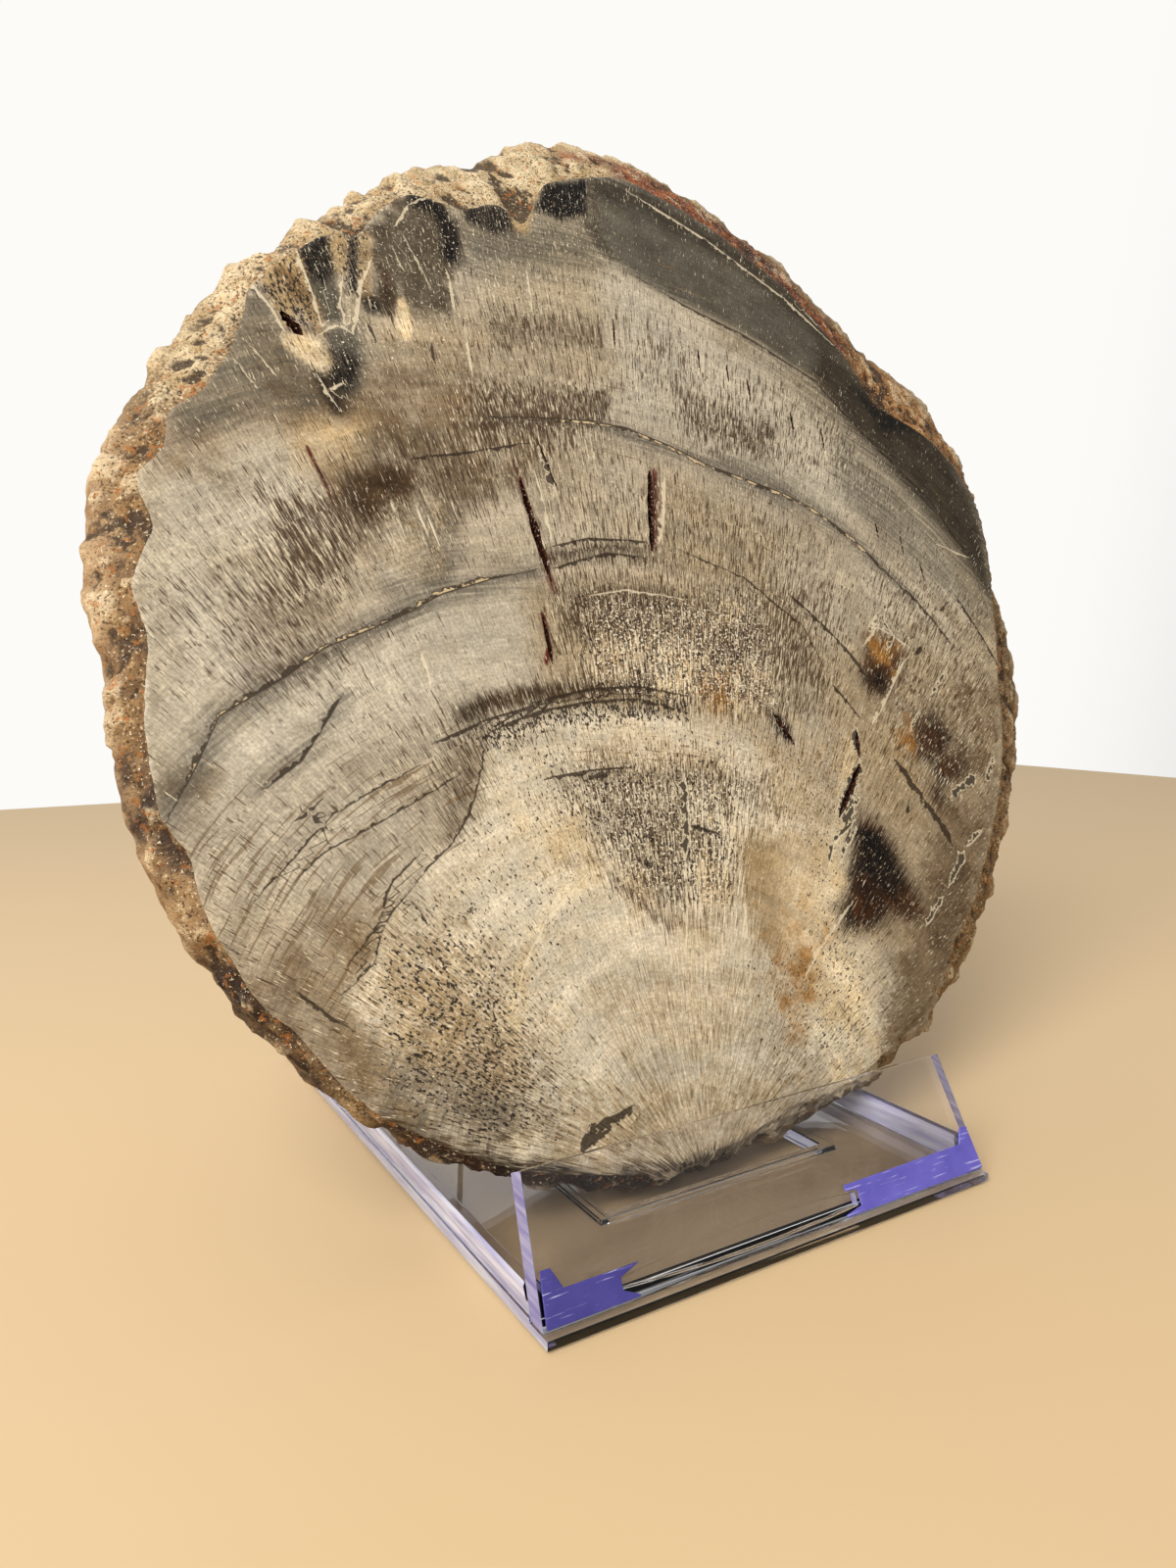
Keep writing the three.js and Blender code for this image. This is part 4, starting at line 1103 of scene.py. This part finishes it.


# Fossil bark: silica crust over knobs, unworked. The eye gets matt grains, painted shade in the creases and
# painted highlights on the crests.
# The crust is loose and gritty beside the face and worn smooth further back.
barkPlan = {
    "base": ("#8c7350", "#6f5636"),
    # Painted shade in the creases and painted highlights on the crests: knob height from and to, the most,
    # and the colour.
    "relief": ((1.05, 0.15, 0.9, "#33210f"), (1.6, 2.5, 0.5, "#dcc7a0")),     # creases and crests
    "specks": (("grain", 0.6, 0.68, 0.7, "#e6d6b4"), ("grain", 0.45, 0.37, 0.9, "#38220d"),
               ("bead", 0.58, 0.64, 0.65, "#9a5f2c")),
    "grit": (2.5, 5.5, 1.0, 0.2),                 # mm behind the face, and how much grit is left there
    "beadRise": 2.4,                              # mm that the beads add to a knob
    "roughnessByBead": (0.3, 0.7, 0.4, 0.8),
    "bump": {"Strength": 0.9, "Distance": 0.6 * mm},
    "gloss": 0.25,
}


def makeBark():
    plan = barkPlan
    material, tree, shader = newMaterial("fossilBark", {"Specular IOR Level": plan["gloss"]})
    grains = stoneGrains(tree)
    colour = mottle(tree, grains["cloud"], *stonePlan["twoShades"], plan["base"])
    colour = paintLayers(tree, grains, colour, barkPaint)
    knob = addNode(tree, "Attribute", {"attribute_name": "knobHeight"}).outputs["Fac"]
    knobGrain = addNode(tree, "Math", {"operation": "MULTIPLY_ADD", 1: plan["beadRise"]},
                        {0: grains["bead"], 2: knob})
    # Painted shade darkens the low places between the knobs, and painted highlight lightens their tops.
    for low, high, most, shade in plan["relief"]:
        colour, _ = layOver(tree, colour, knobGrain, low, high, most, shade)
    deep = addNode(tree, "Attribute", {"attribute_name": "behindFace"}).outputs["Fac"]
    gritty = addNode(tree, "MapRange", dict(enumerate(plan["grit"], 1)), {0: deep})
    for grainName, low, high, most, shade in plan["specks"]:
        colour, _ = layOver(tree, colour, grains[grainName], low, high, most, shade, gritty)
    roughness = addNode(tree, "MapRange", dict(enumerate(plan["roughnessByBead"], 1)), {0: grains["bead"]})
    bump = addNode(tree, "Bump", plan["bump"], {"Height": grains["grain"]})
    joinUp(tree, shader, {"Base Color": colour, "Roughness": roughness, "Normal": bump})
    return material


# Split walls: iron-stained silica inside the open splits, dark with small pale crystal specks that also stand
# for painted glints.
splitPlan = {
    "wall": "#120905",
    "stain": "#4f2410",
    "stainFrom": (0.42, 0.6),     # the grain where the stain comes in, and the crystals below
    # Pale crystal specks, which are also painted glints.
    "crystalsAndGlints": "#d9cdb8",
    "crystalsFrom": (0.62, 0.66),
    "roughness": 0.45,
    "bump": {"Strength": 0.8, "Distance": 0.4 * mm},
}


def makeSplitWall():
    plan = splitPlan
    material, tree, shader = newMaterial("ironStainedSplit", {"Roughness": plan["roughness"]})
    grain = stoneGrains(tree)["grain"]
    low, high = plan["stainFrom"]
    stained = addNode(tree, "MapRange", {"interpolation_type": "SMOOTHSTEP", 1: low, 2: high}, {0: grain})
    wall = addNode(tree, "Mix", {"data_type": "RGBA", 6: toLinear(plan["wall"]), 7: toLinear(plan["stain"])},
                   {0: stained})
    colour, _ = layOver(tree, wall.outputs[2], grain, *plan["crystalsFrom"], 1.0, plan["crystalsAndGlints"])
    bump = addNode(tree, "Bump", plan["bump"], {"Height": grain})
    joinUp(tree, shader, {"Base Color": colour, "Normal": bump})
    return material


cutMesh.materials.clear()
for material in (makeStone("polishedPetrifiedWood", stonePlan["polishedRoughness"], 0.35), makeBark(),
                 makeStone("sawnPetrifiedWood", stonePlan["sawnRoughness"], 0.7), makeSplitWall()):
    cutMesh.materials.append(material)

polished, bark, sawn, splitWall = range(4)
onFace = slicePlan["onFace"]
edgeWidth = slicePlan["edgeWidth"]
below, belowFade = slicePlan["wornBelow"]
start, startFade = slicePlan["wornFrom"]
wornDepth, uneven = slicePlan["wornDepth"]
slots = []
for polygon in cutMesh.polygons:
    corners = list(polygon.vertices)
    deepest = behindFace[corners].max()
    inward = insideEdge[corners].min()
    x, y = facePlace[corners[0]]
    worn = min(max((below - y) / belowFade, 0), 1) * min(max((x - start) / startFade, 0), 1)
    polishedTo = onFace + worn * (wornDepth + uneven * noise.noise(Vector((x / 5, y / 5, 2))))
    if deepest < polishedTo and inward < edgeWidth or deepest < onFace:
        slots.append(polished)
    elif behindFace[corners].min() > slicePlan["backFrom"] and abs(polygon.normal.z) > 0.9:
        slots.append(sawn)
    elif inward > edgeWidth and deepest < slicePlan["splitDeepest"]:
        slots.append(splitWall)
    else:
        slots.append(bark)
cutMesh.polygons.foreach_set("material_index", slots)
cutMesh.transform(slicePlace)
cutMesh.shade_smooth()
cutMesh.set_sharp_from_angle(angle=math.radians(slicePlan["sharpFrom"]))
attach(slicePiece, "root")
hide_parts("stone_slice")
print("slice finished", [slots.count(k) for k in range(4)])

# Stand

# Clear acrylic: cut and cemented sheet. The eye gets bright edges, a faint violet cast and fine scratches.
# Where two sheets are cemented or a saw went through, the edge is milky lavender.
acrylicPlan = {
    "ior": 1.49,
    "tint": "#fdfdff",
    "absorbed": "#d9d6fb",
    "density": 5.0,
    "sideWall": 3.4,              # mm of wall and its joint at each side of the tray
    "scratchScale": (60, 900, 900),
    "scratchRoughness": (0.6, 0.72, 0.015, 0.16),     # noise from and to, and the roughness at either end
    "cemented": ("#b9b6da", "#eeecf7"),
    "sawn": ("#8b86c9", "#c5c2ea"),
    "milky": {"Roughness": 0.22, "IOR": 1.49, "Transmission Weight": 0.5},
    "streakScale": (900, 70, 900),
    "rounding": 0.3,              # mm off the edges
    "restRounding": 0.4,
}


def makeAcrylic():
    material, tree, shader = newMaterial("clearAcrylic", {
        "Base Color": toLinear(acrylicPlan["tint"]), "IOR": acrylicPlan["ior"], "Transmission Weight": 1.0})
    place = addNode(tree, "TexCoord").outputs["Object"]
    stretched = addNode(tree, "VectorMath", {"operation": "MULTIPLY", 1: acrylicPlan["scratchScale"]},
                        {0: place})
    scratch = addNode(tree, "TexNoise", {"Scale": 1.0, "Detail": 4.0}, {"Vector": stretched})
    marks = addNode(tree, "MapRange", dict(enumerate(acrylicPlan["scratchRoughness"], 1)), {0: scratch})
    joinUp(tree, shader, {"Roughness": marks})
    inside = addNode(tree, "VolumeAbsorption",
                     {"Color": toLinear(acrylicPlan["absorbed"]), "Density": acrylicPlan["density"]})
    joinUp(tree, tree.nodes["Material Output"], {"Volume": inside})
    return material


def makeFrostedAcrylic(name, colours):
    material, tree, shader = newMaterial(name, acrylicPlan["milky"])
    place = addNode(tree, "TexCoord").outputs["Object"]
    stretched = addNode(tree, "VectorMath", {"operation": "MULTIPLY", 1: acrylicPlan["streakScale"]},
                        {0: place})
    streaks = addNode(tree, "TexNoise", {"Scale": 1.0, "Detail": 3.0}, {"Vector": stretched})
    joinUp(tree, shader, {"Base Color": mottle(tree, streaks, 0.35, 0.65, colours)})
    return material


def bevelCopy(nodeName, pieceName, material, bevel):
    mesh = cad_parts[nodeName].data.copy()
    mesh.materials.clear()
    mesh.materials.append(material)
    piece = bpy.data.objects.new(pieceName, mesh)
    scene.collection.objects.link(piece)
    bm = bmesh.new()
    bm.from_mesh(mesh)
    bmesh.ops.remove_doubles(bm, verts=bm.verts, dist=0.01 * mm)
    bmesh.ops.dissolve_limit(bm, angle_limit=math.radians(1), verts=bm.verts, edges=bm.edges)
    bm.to_mesh(mesh)
    bm.free()
    edges = piece.modifiers.new("rounded edges", "BEVEL")
    edges.width = bevel * mm
    edges.segments = 2
    edges.limit_method = "ANGLE"
    edges.angle_limit = math.radians(25)
    mesh.shade_flat()
    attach(piece, "root")
    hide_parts(nodeName)
    return piece


def frostEdges(piece, chosen, material):
    piece.data.materials.append(material)
    for polygon in piece.data.polygons:
        if chosen((polygon.center - standOrigin) / mm, polygon.normal):
            polygon.material_index = 1


acrylic = makeAcrylic()
cemented = makeFrostedAcrylic("frostedAcrylic", acrylicPlan["cemented"])
tray = bevelCopy("stand_tray", "acrylic_tray", acrylic, acrylicPlan["rounding"])
wallsFrom = (trayHigh.x - trayLow.x) / 2 / mm - acrylicPlan["sideWall"]
frostEdges(tray, lambda c, n: abs(c.x) > wallsFrom and abs(n.x) > 0.4, cemented)
lip = bevelCopy("front_lip", "acrylic_lip", acrylic, acrylicPlan["rounding"])
frostEdges(lip, lambda c, n: abs(n.x) > 0.9, makeFrostedAcrylic("sawnAcrylic", acrylicPlan["sawn"]))
bevelCopy("back_rest", "acrylic_rest", acrylic, acrylicPlan["restRounding"])

# Masking film: violet plastic film left on the sheet, scuffed. The eye gets flat violet and pale scratches.
# The left piece is painted darker as painted shade and the right piece lighter as painted light.
filmPlan = {
    "scratches": "#c9c5ea",
    "scratchTurn": (0.3, 0.5, 0.4),
    "scratchScale": (150, 2600, 2600),
    "scratchFrom": (0.64, 0.7),
    "scratchMost": 0.6,
    "cloudScale": 220.0,
    "roughness": (0.25, 0.5),
    "rounding": 0.1,
    "pieces": {
        # One film in two colours: the left piece's darker violet is painted shade, the right piece's lighter
        # violet is painted light.
        "film_left": ("shadedVioletFilm", ("#302c70", "#4c4791")),
        "film_right": ("litVioletFilm", ("#4a449c", "#6f69c4")),
    },
}


def makeFilmMaterial(name, colours):
    plan = filmPlan
    material, tree, shader = newMaterial(name, {})
    place = addNode(tree, "TexCoord").outputs["Object"]
    turned = addNode(tree, "Mapping", {"Rotation": plan["scratchTurn"], "Scale": plan["scratchScale"]},
                     {"Vector": place})
    scratch = addNode(tree, "TexNoise", {"Scale": 1.0, "Detail": 3.0}, {"Vector": turned})
    low, high = plan["scratchFrom"]
    marks = addNode(tree, "MapRange", {1: low, 2: high, 4: plan["scratchMost"]}, {0: scratch})
    cloud = addNode(tree, "TexNoise", {"Scale": plan["cloudScale"], "Detail": 3.0}, {"Vector": place})
    colour = addNode(tree, "Mix", {"data_type": "RGBA", 7: toLinear(plan["scratches"])},
                     {0: marks, 6: mottle(tree, cloud, 0, 1, colours)})
    smoothest, roughest = plan["roughness"]
    rough = addNode(tree, "MapRange", {3: smoothest, 4: roughest}, {0: cloud})
    joinUp(tree, shader, {"Base Color": colour.outputs[2], "Roughness": rough})
    return material


for nodeName, (materialName, colours) in filmPlan["pieces"].items():
    bevelCopy(nodeName, nodeName + "_piece", makeFilmMaterial(materialName, colours),
              filmPlan["rounding"])
print("stand built")

# Floor and light

stagePlan = {
    "floor": "#c4a87f",
    "floorReach": (900, 700),     # mm to each side, and to the front and back
    "floorDrop": 0.4,             # mm below the stand
    "wall": "#fcfbf8",
    "brightSide": (-0.5, 0.85, 0.15),
    "wallFade": (-0.45, 0.1),     # where the bright side ends
    "frontShare": 0.25,           # how bright the room in front is beside the wall behind
    "lampsLookAt": (0, 0, 0.1),
    "lamps": {                    # place, size and watts
        "key": ((-0.75, -0.45, 0.8), 0.8, 16.0),
        "low": ((-0.9, -0.6, 0.15), 0.8, 1.5),
    },
}

right, back = stagePlan["floorReach"]
floorCorners = [(x, y, -stagePlan["floorDrop"])
                for x, y in ((-right, -back), (right, -back), (right, back), (-right, back))]
floor = meshObject("floor", floorCorners, [(0, 1, 2, 3)])
floorMaterial, _, _ = newMaterial("paleFloor", {"Base Color": toLinear(stagePlan["floor"]), "Roughness": 0.6})
floor.data.materials.append(floorMaterial)

scene.world = bpy.data.worlds.new("studio")
scene.world.use_nodes = True
tree = scene.world.node_tree
background = tree.nodes["Background"]
background.inputs["Color"].default_value = toLinear(stagePlan["wall"])
direction = addNode(tree, "TexCoord").outputs["Generated"]
facing = addNode(tree, "VectorMath", {"operation": "DOT_PRODUCT", 1: stagePlan["brightSide"]},
                 {0: direction}).outputs["Value"]
fadeFrom, fadeTo = stagePlan["wallFade"]
share = addNode(tree, "MapRange", {"interpolation_type": "SMOOTHSTEP", 1: fadeFrom, 2: fadeTo,
                                   3: stagePlan["frontShare"]}, {0: facing})
joinUp(tree, background, {"Strength": share})

for name, (spot, size, watts) in stagePlan["lamps"].items():
    lamp = bpy.data.lights.new(name, "AREA")
    lamp.shape = "DISK"
    lamp.size = size
    lamp.energy = watts
    lampObject = bpy.data.objects.new(name, lamp)
    lampObject.location = spot
    lookDown = Vector(stagePlan["lampsLookAt"]) - Vector(spot)
    lampObject.rotation_euler = lookDown.to_track_quat("-Z", "Y").to_euler()
    scene.collection.objects.link(lampObject)
print("stage set")
